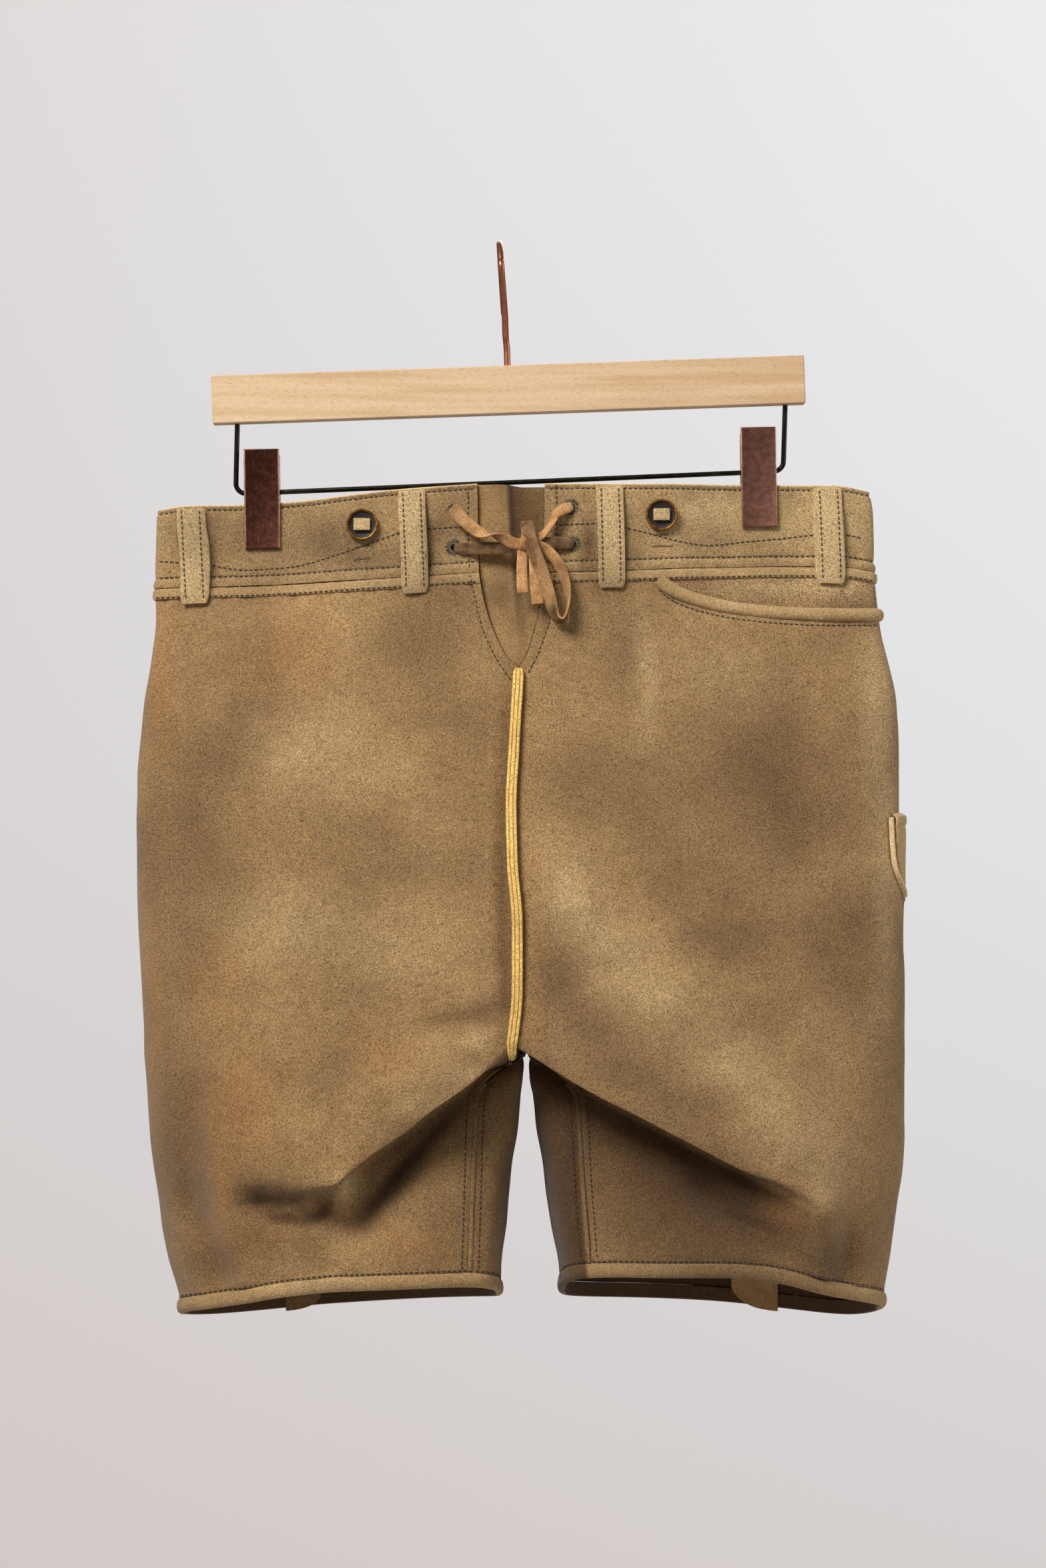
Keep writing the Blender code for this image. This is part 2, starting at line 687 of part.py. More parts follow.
def back_section(side, level):
    """The line of a back panel at one level, from the side seam inwards, as (x, y)."""
    start = float(seam_x(side, level)) - SIGN[side] * SEAM_GAP
    middle = mix(MIDDLE_X, CROTCH_X, ease(-0.19, CROTCH_Z, level)) + SIGN[side] * GAP / 2
    if level >= FORK_Z:
        x = np.linspace(start, float(middle), 40)
        return np.stack([x, wall_y("back", side, x, level)], -1)
    inner = float(read(INNER, side, level))
    edge = float(read(OUTLINE, side, level))
    centre = (edge + inner) / 2
    square = float(read(DEPTH, "inner_square", level))
    x = np.linspace(start, centre, 24)
    line = [np.stack([x, wall_y("back", side, x, level, True)], -1)]
    turn = np.linspace(0, 1, 40)[1:] ** 0.5 * math.pi / 2
    x = centre + (inner - centre) * np.sin(turn) ** (2 / square)
    full = float(wall_y("back", side, centre, level, True))
    inside = wall_y("back", side, x, level) / full
    line.append(np.stack([x, full * np.cos(turn) ** (2 / square) * np.minimum(inside, 1.1)], -1))
    line = np.concatenate(line)
    end_y = float(read(CROTCH, "y", level))
    if level > CROTCH_Z + 1e-6:
        if end_y > 0:
            keep = np.r_[True, line[1:, 1] > end_y] | (np.arange(len(line)) < 30)
            line = line[keep]
            line = np.vstack([line, [inner, end_y]])
        else:
            line = np.vstack([line, [inner, end_y]])
    else:
        seam = inseam_point(side, level)
        turn = np.linspace(0, math.pi / 2, 24)[1:]
        x = inner + (float(seam[0]) - inner) * (1 - np.cos(turn) ** (2 / square))
        y = float(seam[1]) * np.sin(turn) ** (2 / square)
        line = np.concatenate([line, np.stack([x, y], -1)])
    height = read(tuple(reversed(CROTCH)), "z", line[:, 1], "y")
    near = np.exp(-np.maximum(height - level, 0) / 0.006)
    wall = np.clip((line[:, 0] - centre) / (inner - centre), 0, 1) ** 6
    line[:, 0] += (middle - inner) * near * wall
    return line


def back_panel(side):
    """One back: seat, inner leg and the turn on to the front, down to the hem."""
    shares = BACK_PARTS
    columns_top = along(back_section(side, -0.20), shares)
    top_z = read(BACK_LINE, "bottom", columns_top[:, 0], "x") - GAP
    hem_line = along(back_section(side, HEM_Z), shares)
    end_z = hem_z(side, hem_line[:, 0], hem_line[:, 1])
    rows = []
    for t in BACK_ROWS:
        level = mix(-0.1975, FORK_Z, t)
        z = mix(top_z, np.full_like(top_z, FORK_Z), t)
        x = along(back_section(side, level), shares)[:, 0]
        rows.append(np.stack([x, wall_y("back", side, x, z), z], -1))
    for step in CROTCH[1:-1]:
        line = along(back_section(side, step.z), shares)
        rows.append(np.stack([line[:, 0], line[:, 1], np.full_like(top_z, step.z)], -1))
    fade = np.clip(1 - np.arange(len(shares)) / 5, 0, 1)
    for t in np.linspace(0, 1, LEG_ROWS + 1):
        level = mix(CROTCH_Z, HEM_Z + BINDING_HEIGHT, t)
        z = mix(CROTCH_Z, end_z, t)
        line = along(back_section(side, level), shares)
        row = np.stack([line[:, 0], line[:, 1], z], -1)
        corner = (PANEL_WALL + GAP) * ease(INSEAM_CORNER_ENDS_Z, CROTCH_Z, z[-1])
        seam = inseam_point(side, z[-1]) + np.array([-SIGN[side] * INSEAM_GAP, corner, 0])
        row += (seam - row[-1]) * fade[::-1, None]
        x = seam_x(side, z[0]) - SIGN[side] * SEAM_GAP
        outer = np.array([x, wall_y("back", side, x, z[0], True), z[0]])
        row += (outer - row[0]) * fade[:, None]
        rows.append(row)
    sheet(f"back_{side}", np.array(rows), PANEL_WALL, suede(), flip=side == "right")
    return rows[-1]


# ---------------------------------------------------------------- waistband and trims

def back_row(share, below, out):
    """A row across the back, between the side seams: from the band's top (0) to its bottom (1)."""
    ends = []
    for side in SIDES:
        near = seam_x(side, -0.17)
        level = back_line_z(near, share) - below
        ends.append(float(seam_x(side, level)) - SIGN[side] * SEAM_GAP)
    spread = np.concatenate([[0.0, 0.008], np.linspace(0.04, 0.96, 23), [0.992, 1.0]])
    x = mix(ends[0], ends[1], spread)
    return back_point(x, back_line_z(x, share) - below, out)


def back_line_z(x, share):
    return mix(read(BACK_LINE, "top", x, "x"), read(BACK_LINE, "bottom", x, "x"), share)


def waistband():
    proud = BAND_STANDS_PROUD
    for side in SIDES:
        columns = np.arange(0, SEAM_COLUMN + 1, dtype=float)
        top, bottom = band_line(side, columns, "top"), band_line(side, columns, "bottom")
        rows = [raised(side, columns, mix(top, bottom, t), proud) for t in BAND_ROWS]
        sheet(f"waistband_front_{side}", rows, BAND_WALL, suede(), flip=side == "right")
    rows = [back_row(t, 0.0, proud) for t in BAND_ROWS]
    sheet("waistband_back", rows, BAND_WALL, suede(), flip=True)


def waist_strips():
    """The second strip, sewn on just below the band's rolled edge."""
    out = 2 * GAP + 0.0012
    for side in SIDES:
        columns = np.arange(0, SEAM_COLUMN + 1, dtype=float)
        top = band_line(side, columns, "bottom") - GAP
        rows = [raised(side, columns, top - STRIP_HEIGHT * t, out) for t in (0, 1)]
        sheet(f"waist_strip_{side}", rows, 0.0012, suede(), flip=side == "right")
    rows = [back_row(1, GAP + STRIP_HEIGHT * t, out) for t in (0, 1)]
    sheet("waist_strip_back", rows, 0.0012, suede(), flip=True)


def tongue():
    """The gusset behind the lacing, folded down its middle."""
    columns, rows = 10, 8
    top, bottom = -0.1408, -0.2535
    wall, behind, fold_width = 0.0014, 0.0027, 0.0028
    grid = []
    for t in np.linspace(0, 1, rows + 1):
        z = mix(top, bottom, t)
        margin = mix(0.0075, 0.0040, t)
        x = np.linspace(float(read(CENTRE, "right", z)) - margin,
                        float(read(CENTRE, "left", z)) + margin, columns + 1)
        fold_x = mix(0.0045, 0.0118, t ** 1.3) - 2 * GAP
        step = mix(0.0032, 0.0026, t) * ease(fold_x, fold_x + fold_width, x)
        y = wall_y("front", "right", np.minimum(x, MIDDLE_X), z) + behind + step
        grid.append(np.stack(np.broadcast_arrays(x, y, z), -1))
    sheet("tongue", grid, wall, suede(), flip=False)


def centre_welt():
    """Raw-edged welt standing in the centre front seam, its tip curled under the lip."""
    z = np.linspace(-0.2495, -0.4655, 24)
    x = (read(CENTRE, "right", z) + read(CENTRE, "left", z)) / 2
    points = np.stack([x, trunk_front("left", np.zeros_like(z), z)[:, 1], z], -1)
    tip = points[-1]
    curl = [tip + np.array([0.0, 0.0003, -0.0045]), tip + np.array([0.0, 0.0035, -0.0085])]
    points = np.vstack([points, curl])
    fall = np.gradient(points, axis=0)
    outward = np.stack([np.zeros(len(points)), fall[:, 2], -fall[:, 1]], -1)
    half = WELT_WIDTH / 2
    low, high = 2 * GAP, WELT_HEIGHT
    profile = ((-half, low), (half, low), (half, high * 0.75), (half * 0.6, high),
               (-half * 0.6, high), (-half, high * 0.75))
    swept("centre_welt", points, outward, profile, cut_edge())


def belt_loops():
    """Each loop stands off the band in its middle and is sewn down at both ends."""
    Place = namedtuple("Place", "number side top_x bottom_x")
    places = (Place(1, "right", -0.1816, -0.1785), Place(2, "right", -0.0516, -0.0492),
              Place(3, "left", 0.0647, 0.0659), Place(4, "left", 0.1931, 0.1949))
    Run = namedtuple("Run", "share above below out")
    runs = (Run(0.0, 0.0015, 0, 0.0011), Run(0.12, 0.0060, 0, 0.0022), Run(0.5, 0, 0, 0.0034),
            Run(0.8, 0, -0.001, 0.0034), Run(0.93, 0, 0.0065, 0.0027), Run(1.0, 0, 0.0105, 0.0017))
    across = np.linspace(-LOOP_WIDTH / 2, LOOP_WIDTH / 2, 4)
    for place in places:
        side = place.side
        rows = []
        for run in runs:
            x = mix(place.top_x, place.bottom_x, run.share)
            middle = column_at(side, x, -0.17)
            level = float(mix(band_line(side, middle, "top"), band_line(side, middle, "bottom"),
                              run.share))
            columns = np.array([column_at(side, x + step, level) for step in across])
            top, bottom = band_line(side, columns, "top"), band_line(side, columns, "bottom")
            z = mix(top, bottom, run.share) - run.above - run.below
            rows.append(raised(side, columns, z, run.out + LOOP_WALL))
        sheet(f"belt_loop_front_{place.number}", rows, LOOP_WALL, suede(), flip=False)
    for number, x in enumerate((-0.100, MIDDLE_X, 0.117), 1):
        top = read(BACK_LINE, "top", x + across, "x")
        bottom = read(BACK_LINE, "bottom", x + across, "x")
        rows = [back_point(x + across, mix(top, bottom, run.share) - run.above - run.below,
                           run.out + LOOP_WALL) for run in runs]
        sheet(f"belt_loop_back_{number}", rows, LOOP_WALL, suede(), flip=True)


def buttons():
    """Braces buttons of dark horn in a brass rim, each held by a leather tab."""
    r = BUTTON_RADIUS
    profile = ((0.0, 0.0), (r * 0.90, 0.0), (r, 0.0010), (r, 0.0028), (r * 0.93, 0.0036),
               (r * 0.84, 0.0034), (r * 0.78, BUTTON_FACE), (0.0, BUTTON_FACE))
    Place = namedtuple("Place", "name x z front")
    places = (Place("front_right", -0.0806, -0.1648, True),
              Place("front_left", 0.0950, -0.1590, True),
              Place("back_right", -0.0500, -0.1700, False),
              Place("back_left", 0.0670, -0.1690, False))
    reach = 0.006
    for place in places:
        side = "right" if place.x < MIDDLE_X else "left"
        name, face = ("front", 1.0) if place.front else ("back", -1.0)
        y, above, below = (float(wall_y(name, side, place.x, place.z + step))
                           for step in (0.0, reach, -reach))
        base = y - face * (BAND_STANDS_PROUD + GAP + BUTTON_CLEARANCE)
        lean = math.atan2(above - below, 2 * reach)
        upright = Matrix.Rotation(face * math.pi / 2 - lean, 4, "X")
        seat = Matrix.Translation((place.x, base, place.z)) @ upright
        turned(f"button_{place.name}", profile, 12, seat, horn())
        bm = bmesh.new()
        bmesh.ops.create_cube(bm, size=1.0)
        bm.transform(Matrix.Diagonal((*TAB_SIZE, 1.0)))
        bmesh.ops.bevel(bm, geom=bm.edges[:], offset=0.0004, segments=1, affect="EDGES")
        bm.transform(seat @ Matrix.Translation((0, 0, BUTTON_FACE + GAP + TAB_SIZE[2] / 2)))
        mesh = bpy.data.meshes.new(f"button_tab_{place.name}")
        bm.to_mesh(mesh)
        bm.free()
        add_object(f"button_tab_{place.name}", mesh, thong())


def pocket():
    """The pocket's facing, set back behind the front, and the fat piping on its edge."""
    side = "left"
    first = column_at(side, POCKET[0].x + 0.002, -0.195)
    columns = np.concatenate([[first], np.arange(math.ceil(first + 0.3), SEAM_COLUMN),
                              [SEAM_COLUMN - 0.1]])
    wall, behind = 0.0012, -PANEL_WALL - 2 * GAP
    lap, above_edge, below_edge = 0.0066, 0.0037, 0.0060
    top, edge = band_line(side, columns, "bottom") - GAP, panel_top(side, columns)
    rows = [raised(side, columns, top, 0.0),
            raised(side, columns, np.maximum(top - lap, edge + above_edge + GAP), 0.0),
            raised(side, columns, np.minimum(top - 2 * GAP, edge + above_edge), 0.0),
            raised(side, columns, np.minimum(top - 4 * GAP, edge + GAP), behind),
            raised(side, columns, edge - below_edge, behind)]
    sheet("pocket_facing", rows, wall, suede(), flip=False)

    turn = np.arange(math.ceil(first * 2) / 2, SEAM_COLUMN - 0.2, 0.5)
    z = panel_top(side, turn)
    line = raised(side, turn, z, 2 * GAP)
    outward = raised(side, turn, z, 0.002) - line
    half, high = 0.0038, 0.0029
    profile = ((-half, 0.0), (half, 0.0), (half * 0.86, high * 0.6), (half * 0.4, high),
               (-half * 0.4, high), (-half * 0.86, high * 0.6))
    keep = z < band_line(side, turn, "bottom") - STRIP_HEIGHT - half - 4 * GAP
    swept("pocket_piping", line[keep], outward[keep], profile, suede())


def knife_pocket():
    """Narrow sheath pocket on the wearer's left side, most of it behind the fold."""
    side = "left"
    Row = namedtuple("Row", "z start end out")
    rows = (Row(-0.3340, 15.6, 23.0, 0.0042), Row(-0.3440, 15.6, 23.0, 0.0036),
            Row(-0.3640, 15.7, 23.0, 0.0030), Row(-0.3760, 16.2, 22.9, 0.0026),
            Row(-0.3810, 16.9, 22.9, 0.0024), Row(-0.3860, 17.9, 22.8, 0.0022),
            Row(-0.4200, 18.9, 22.5, 0.0018), Row(-0.4650, 19.2, 22.1, 0.0017))
    wall = 0.0014
    points = [raised(side, np.linspace(row.start, row.end, 9), row.z, row.out) for row in rows]
    sheet("knife_pocket", points, wall, suede(), flip=False)
    in_front, half, high = 0.30, 0.0009, 0.0024
    visible = rows[:6]
    line = [raised(side, row.start - in_front, row.z, 2 * GAP) for row in visible]
    up = [raised(side, row.start - in_front, row.z, high)
          - raised(side, row.start - in_front, row.z, 0) for row in visible]
    profile = ((-half, 0.0), (half, 0.0), (half, high), (-half, high))
    swept("knife_pocket_edge", line, up, profile, cut_edge())


def hems(front_edges, back_edges):
    """Rolled bindings round the leg openings, open at the small vent in the side seam."""
    wall, roll, tuck = PANEL_WALL + 0.0008, 0.0009, 0.0006
    height, least_step = BINDING_HEIGHT, 0.002
    for side in SIDES:
        loop = np.vstack([back_edges[side], front_edges[side]])
        steps = np.linalg.norm(np.diff(loop, axis=0), axis=1)
        loop = loop[np.r_[True, steps > least_step]]
        length = np.linalg.norm(np.diff(loop, axis=0), axis=1).sum()
        trim = VENT_WIDTH / length
        loop = along(loop, np.linspace(trim, 1 - trim, 34))
        loop[:, 2] -= GAP
        run = np.gradient(loop, axis=0)
        outward = np.stack([run[:, 1], -run[:, 0], np.zeros(len(run))], -1) * SIGN[side]
        centre = loop.mean(axis=0)
        outward *= np.sign(((loop - centre) * outward).sum(1)).reshape(-1, 1)
        profile = ((0.0, -wall), (0.0, roll * 0.5), (-height * 0.35, roll), (-height * 0.8, roll),
                   (-height, -tuck), (-height * 0.9, -wall))
        turn = 1 if np.cross(run[5], outward[5])[2] > 0 else -1
        shape = [(across * turn, out) for across, out in profile]
        swept(f"hem_binding_{side}", loop, outward, shape, suede())


def vent_facings():
    """Rounded facing inside each side seam at the hem."""
    top, bottom, half, wall, behind = -0.590, -0.6330, 0.0105, 0.0012, 0.0018
    for side in SIDES:
        seam = float(seam_x(side, -0.61))
        grid = []
        for t in np.linspace(0, 1, 6):
            z = mix(top, bottom, t)
            reach = half * math.sqrt(1 - (1 - t) ** 4 * 0.55)
            x = np.linspace(seam - reach, seam + reach, 6)
            y = wall_y("back", side, x, z, True) - PANEL_WALL - behind
            grid.append(np.stack(np.broadcast_arrays(x, y, z), -1))
        sheet(f"vent_facing_{side}", grid, wall, cut_edge(), flip=True)


# ---------------------------------------------------------------- lacing

def lace():
    """A flat thong through four eyelets, tied in a half bow with its two ends hanging.

    `out` is the distance from the waistband and `turn` the ribbon's twist away from lying flat.
    """
    Point = namedtuple("Point", "x z out turn")
    routes = {
        "lace_cross_right": (Point(-0.0268, -0.1783, 0.0012, 0), Point(-0.0200, -0.1786, 0.0026, 0),
                             Point(-0.0090, -0.1790, 0.0050, 0), Point(0.0000, -0.1788, 0.0068, 0),
                             Point(0.0086, -0.1784, 0.0078, 0)),
        "lace_cross_left": (Point(0.0231, -0.1752, 0.0080, 0), Point(0.0310, -0.1757, 0.0058, 0),
                            Point(0.0380, -0.1762, 0.0028, 0), Point(0.0440, -0.1763, 0.0012, 0)),
        "lace_upper": (Point(0.0425, -0.1535, 0.0012, 0), Point(0.0370, -0.1552, 0.0034, 0),
                       Point(0.0310, -0.1590, 0.0054, 0), Point(0.0255, -0.1635, 0.0066, 0),
                       Point(0.0197, -0.1686, 0.0076, 0)),
        "lace_end_upper": (Point(0.0088, -0.1700, 0.0080, 0), Point(0.0020, -0.1690, 0.0095, 0),
                           Point(-0.0050, -0.1688, 0.0095, 0), Point(-0.0120, -0.1668, 0.0080, 0),
                           Point(-0.0190, -0.1620, 0.0072, 0), Point(-0.0285, -0.1540, 0.0075, 0)),
        "lace_end_short": (Point(0.0132, -0.1804, 0.0080, 0), Point(0.0130, -0.1870, 0.0090, 0),
                           Point(0.0132, -0.1940, 0.0092, 0), Point(0.0136, -0.2040, 0.0088, 0)),
        "lace_end_long": (Point(0.0212, -0.1801, 0.0078, 0), Point(0.0215, -0.1870, 0.0088, 0),
                          Point(0.0218, -0.1960, 0.0092, 0), Point(0.0222, -0.2110, 0.0090, 0)),
        "lace_loop": (Point(0.0150, -0.1680, 0.0126, 0), Point(0.0172, -0.1745, 0.0137, 0),
                      Point(0.0208, -0.1820, 0.0146, 15), Point(0.0250, -0.1920, 0.0158, 30),
                      Point(0.0285, -0.2020, 0.0160, 40), Point(0.0320, -0.2120, 0.0155, 50),
                      Point(0.0352, -0.2185, 0.0145, 70), Point(0.0395, -0.2205, 0.0130, 90),
                      Point(0.0430, -0.2155, 0.0115, 120), Point(0.0428, -0.2050, 0.0100, 145),
                      Point(0.0400, -0.1960, 0.0090, 160), Point(0.0355, -0.1880, 0.0085, 170),
                      Point(0.0300, -0.1825, 0.0080, 175)),
    }
    width, thick = LACE_SIZE
    half, skin = width / 2, thick / 2
    profile = ((-half, -skin), (half, -skin), (half, skin), (-half, skin))
    for name, route in routes.items():
        x, z, out, turn = np.array(route).T
        side = np.where(x > MIDDLE_X, wall_y("front", "left", np.maximum(x, MIDDLE_X), z),
                        wall_y("front", "right", np.minimum(x, MIDDLE_X), z))
        centres = np.stack([x, side - BAND_STANDS_PROUD - out, z], -1)
        run = np.gradient(centres, axis=0)
        run /= np.hypot(run[:, 0], run[:, 2])[:, None]
        twist = np.radians(turn)
        outward = np.stack([np.sin(twist) * run[:, 2], -np.cos(twist),
                            -np.sin(twist) * run[:, 0]], -1)
        swept(name, centres, outward, profile, thong())
    bm = bmesh.new()
    bmesh.ops.create_uvsphere(bm, u_segments=12, v_segments=8, radius=1.0)
    bm.transform(Matrix.Diagonal((*LACE_KNOT_RADII, 1.0)))
    bm.transform(Matrix.Translation(LACE_KNOT_CENTRE))
    mesh = bpy.data.meshes.new("lace_knot")
    bm.to_mesh(mesh)
    bm.free()
    add_object("lace_knot", mesh, thong())


# ---------------------------------------------------------------- hanger

def on_bar(x, z):
    """A place on the tilted hanger, from the bar's centre."""
    cos, sin = math.cos(TILT), math.sin(TILT)
    return (BAR_CENTRE[0] + x * cos + z * sin, 0.0, BAR_CENTRE[2] - x * sin + z * cos)


def hanger_bar():
    half = [size / 2 for size in BAR_SIZE]
    low = [c - h for c, h in zip(BAR_CENTRE, half)]
    high = [c + h for c, h in zip(BAR_CENTRE, half)]
    beech = material("beech", (0.66, 0.46, 0.27), 0.55)
    block("hanger_bar", low, high, beech, bevel=0.0006, turn=TILT)


def hanger_hook():
    """Copper wire: a stem out of the bar, then round in front of the rail and over it."""
    radius = HOOK_INNER_RADIUS + HOOK_WIRE_RADIUS
    top_z = HOOK_WIRE_RADIUS
    foot = on_bar(0, BAR_SIZE[2] / 2 + GAP)
    stem_z, neck_z, arc_z = -0.0600, -0.0560, -0.0330
    points = [foot, (foot[0] * 0.92, 0.0, stem_z)]
    for share in (0.15, 0.4, 0.7):
        points.append((foot[0] * mix(0.80, 0.60, share), -radius * 0.98 * share ** 1.5,
                       mix(neck_z, arc_z, share)))
    for angle in np.linspace(195, 395, 15):
        turn = math.radians(angle)
        y = radius * math.cos(turn)
        z = top_z - radius - radius * math.sin(turn)
        points.append((foot[0] * max((top_z - z), 0) / -foot[2], y, z))
    wire("hanger_hook", points, HOOK_WIRE_RADIUS, material("copper", (0.36, 0.15, 0.09), 0.3, 1.0))


def wire_z(x):
    return WIRE_MIDDLE_Z + WIRE_SLOPE * (x - MIDDLE_X)


def hanger_wire():
    """Bottom wire, bent up at both ends into the bar."""
    quarter = np.radians(np.linspace(0, 90, 6))
    points = []
    for side, turns in (("right", quarter), ("left", quarter[::-1])):
        x, inward = WIRE_X[side], -SIGN[side]
        z = wire_z(x)
        points.extend((x + inward * WIRE_BEND * (1 - math.cos(turn)), 0.0,
                       z + WIRE_BEND * (1 - math.sin(turn))) for turn in turns)
    into_bar = [on_bar(along_bar, -BAR_SIZE[2] / 2 - GAP) for along_bar in WIRE_IN_BAR]
    wire("hanger_wire", [into_bar[0], *points, into_bar[1]], WIRE_RADIUS, steel())


def clips():
    """Two spring clips on the wire: a front jaw, a back jaw and a sleeve on the wire."""
    inner = JAW + BAND_STANDS_PROUD + GAP
    width, wall, height = CLIP_SIZE
    for side in SIDES:
        x, top = CLIP_X[side], CLIP_TOP_Z[side]
        for face, sign, shift in (("front", -1.0, 0.0), ("back", 1.0, 0.0016)):
            low = (x - width / 2, min(sign * inner, sign * (inner + wall)), top - height + shift)
            high = (x + width / 2, max(sign * inner, sign * (inner + wall)), top - 2 * shift)
            block(f"clip_{side}_{face}", low, high, copper(), bevel=0.0005, turn=CLIP_TILT)
        slope = math.atan(WIRE_SLOPE)
        bore, outside, half = WIRE_RADIUS + GAP, WIRE_RADIUS + GAP + 0.0006, 0.0060
        profile = ((outside, -half), (outside, half), (bore, half), (bore, -half), (outside, -half))
        seat = (Matrix.Translation((x, 0, wire_z(x))) @ Matrix.Rotation(-slope, 4, "Y")
                @ Matrix.Rotation(math.pi / 2, 4, "Y"))
        turned(f"clip_{side}_sleeve", profile, 14, seat, steel())


clear_scene()
PARTS = parts_collection()
front_hem = {side: front_panel(side) for side in SIDES}
back_hem = {side: back_panel(side) for side in SIDES}
waistband()
waist_strips()
tongue()
centre_welt()
belt_loops()
buttons()
pocket()
knife_pocket()
hems(front_hem, back_hem)
vent_facings()
lace()
hanger_bar()
hanger_hook()
hanger_wire()
clips()
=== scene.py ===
# %% [markdown]
# # Suede lederhosen on a clip hanger
#
# Short deerskin breeches hang by their waistband from two spring clips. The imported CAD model
# is loaded first and stays the measure of everything: each piece below is laid where its
# solid is, only with finer folds, real seams and real finishes. All lengths are in metres,
# apart from the tables, which a cutter writes in millimetres.

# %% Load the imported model
import contextlib
import functools
import json
import math

import bpy
import numpy as np
from mathutils import Matrix, Vector
from mathutils.bvhtree import BVHTree

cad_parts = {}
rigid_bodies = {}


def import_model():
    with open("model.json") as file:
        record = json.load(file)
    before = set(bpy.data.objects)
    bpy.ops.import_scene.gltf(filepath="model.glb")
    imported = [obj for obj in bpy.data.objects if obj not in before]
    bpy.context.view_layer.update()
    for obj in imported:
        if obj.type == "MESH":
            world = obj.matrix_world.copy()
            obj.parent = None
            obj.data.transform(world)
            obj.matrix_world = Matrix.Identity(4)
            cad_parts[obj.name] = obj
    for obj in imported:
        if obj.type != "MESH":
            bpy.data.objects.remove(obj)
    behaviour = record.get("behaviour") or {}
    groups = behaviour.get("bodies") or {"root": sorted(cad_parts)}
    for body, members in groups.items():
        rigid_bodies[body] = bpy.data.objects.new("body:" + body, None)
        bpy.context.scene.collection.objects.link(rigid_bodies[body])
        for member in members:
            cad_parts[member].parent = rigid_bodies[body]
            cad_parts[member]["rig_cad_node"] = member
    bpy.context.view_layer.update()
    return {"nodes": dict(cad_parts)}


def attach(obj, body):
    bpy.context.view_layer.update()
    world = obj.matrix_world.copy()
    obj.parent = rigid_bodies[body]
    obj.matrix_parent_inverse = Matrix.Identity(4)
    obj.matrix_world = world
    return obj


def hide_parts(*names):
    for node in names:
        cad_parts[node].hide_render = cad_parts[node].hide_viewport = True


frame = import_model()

for startup in ("Cube", "Light", "Camera"):
    if startup in bpy.data.objects:
        bpy.data.objects.remove(bpy.data.objects[startup])

# %% [markdown]
# ## The camera
#
# A long lens far away keeps the waistband and the hems equally wide, as a tailor's picture
# does. It stands level with the middle of hanger and garment and looks straight along +Y.

# %% Camera
CAMERA_PLACE = (0.01378, -2.2, -0.3167)
bpy.ops.object.camera_add(location=CAMERA_PLACE, rotation=(math.pi / 2, 0, 0))
camera = bpy.context.object
camera.name = "studio_camera"
camera.data.lens = 85.57
camera.data.clip_start = 0.05
bpy.context.scene.camera = camera
print("camera at", CAMERA_PLACE, "lens", camera.data.lens, "mm")

# %% [markdown]
# ## The garment's measures
#
# A pattern cutter keeps a garment as a few tables of measures, and so does this lesson. Each
# table holds the same numbers as the CAD source, with a column for each side, because the
# hanger hangs a little askew. `read` draws a smooth curve through a column that never
# overshoots, so a hem or a fold can be asked for at any height, as finely as is wanted.

# %% Reading a table
SIDES = ("right", "left")
SIGN = {"right": -1, "left": 1}


MM = 0.001
NOT_LENGTHS = ("part", "share", "angle", "square", "inner_square", "near", "far", "start", "end")


def table(columns, *rows):
    """A table by column. Its lengths are written in millimetres and kept in metres."""
    return {name: np.array(values, float) * (1 if name in NOT_LENGTHS else MM)
            for name, values in zip(columns.split(), zip(*rows))}


def metres(*rows):
    """Rows that hold only lengths, written in millimetres."""
    return np.array(rows, float) * MM


def read(rows, column, at, key=None):
    """Value of one column at `at` of the first, on a smooth curve through the table's rows."""
    key = key or next(iter(rows))
    order = np.argsort(rows[key])
    known, value = rows[key][order], rows[column][order]
    width = np.diff(known)
    secant = np.diff(value) / width
    slope = np.zeros_like(value)
    slope[0], slope[-1] = secant[0], secant[-1]
    for i in range(1, len(value) - 1):
        before, after = secant[i - 1], secant[i]
        if before * after > 0:
            slope[i] = 2 * before * after / (before + after)
    at = np.clip(at, known[0], known[-1])
    i = np.clip(np.searchsorted(known, at, side="right") - 1, 0, len(width) - 1)
    t = (at - known[i]) / width[i]
    return ((1 + 2 * t) * (1 - t) ** 2 * value[i] + t * (1 - t) ** 2 * width[i] * slope[i]
            + t * t * (3 - 2 * t) * value[i + 1] + t * t * (t - 1) * width[i] * slope[i + 1])


def ease(start, end, at):
    """0 before start, 1 after end, smooth between them."""
    t = np.clip((at - start) / (end - start), 0, 1)
    return t * t * (3 - 2 * t)


def bell(distance, width):
    """A soft bump: 1 at no distance, and nearly 0 at twice the width."""
    return np.exp(-(distance / width) ** 2)


def mix(a, b, share):
    return a + (b - a) * share


def stacked(*columns):
    """Points from their coordinates, one column each."""
    return np.stack(np.broadcast_arrays(*columns), -1)


def unit(vectors):
    """The same directions with a length of 1."""
    return vectors / np.maximum(np.linalg.norm(vectors, axis=-1, keepdims=True), 1e-12)


def measured(line):
    """The length of a line of points."""
    return float(np.linalg.norm(np.diff(line, axis=0), axis=1).sum())


def along(points, shares):
    """Points at the given shares of a line's length."""
    points = np.asarray(points, float)
    steps = np.linalg.norm(np.diff(points, axis=0), axis=1)
    reach = np.r_[0, np.cumsum(steps)]
    at = np.asarray(shares) * reach[-1]
    return np.stack([np.interp(at, reach, column) for column in points.T], -1)

# %% [markdown]
# The outline runs down both sides of the garment, the inner line down each leg's inside, and
# the depth table says how far the cloth fills out in front and behind, and how square its
# bend is.

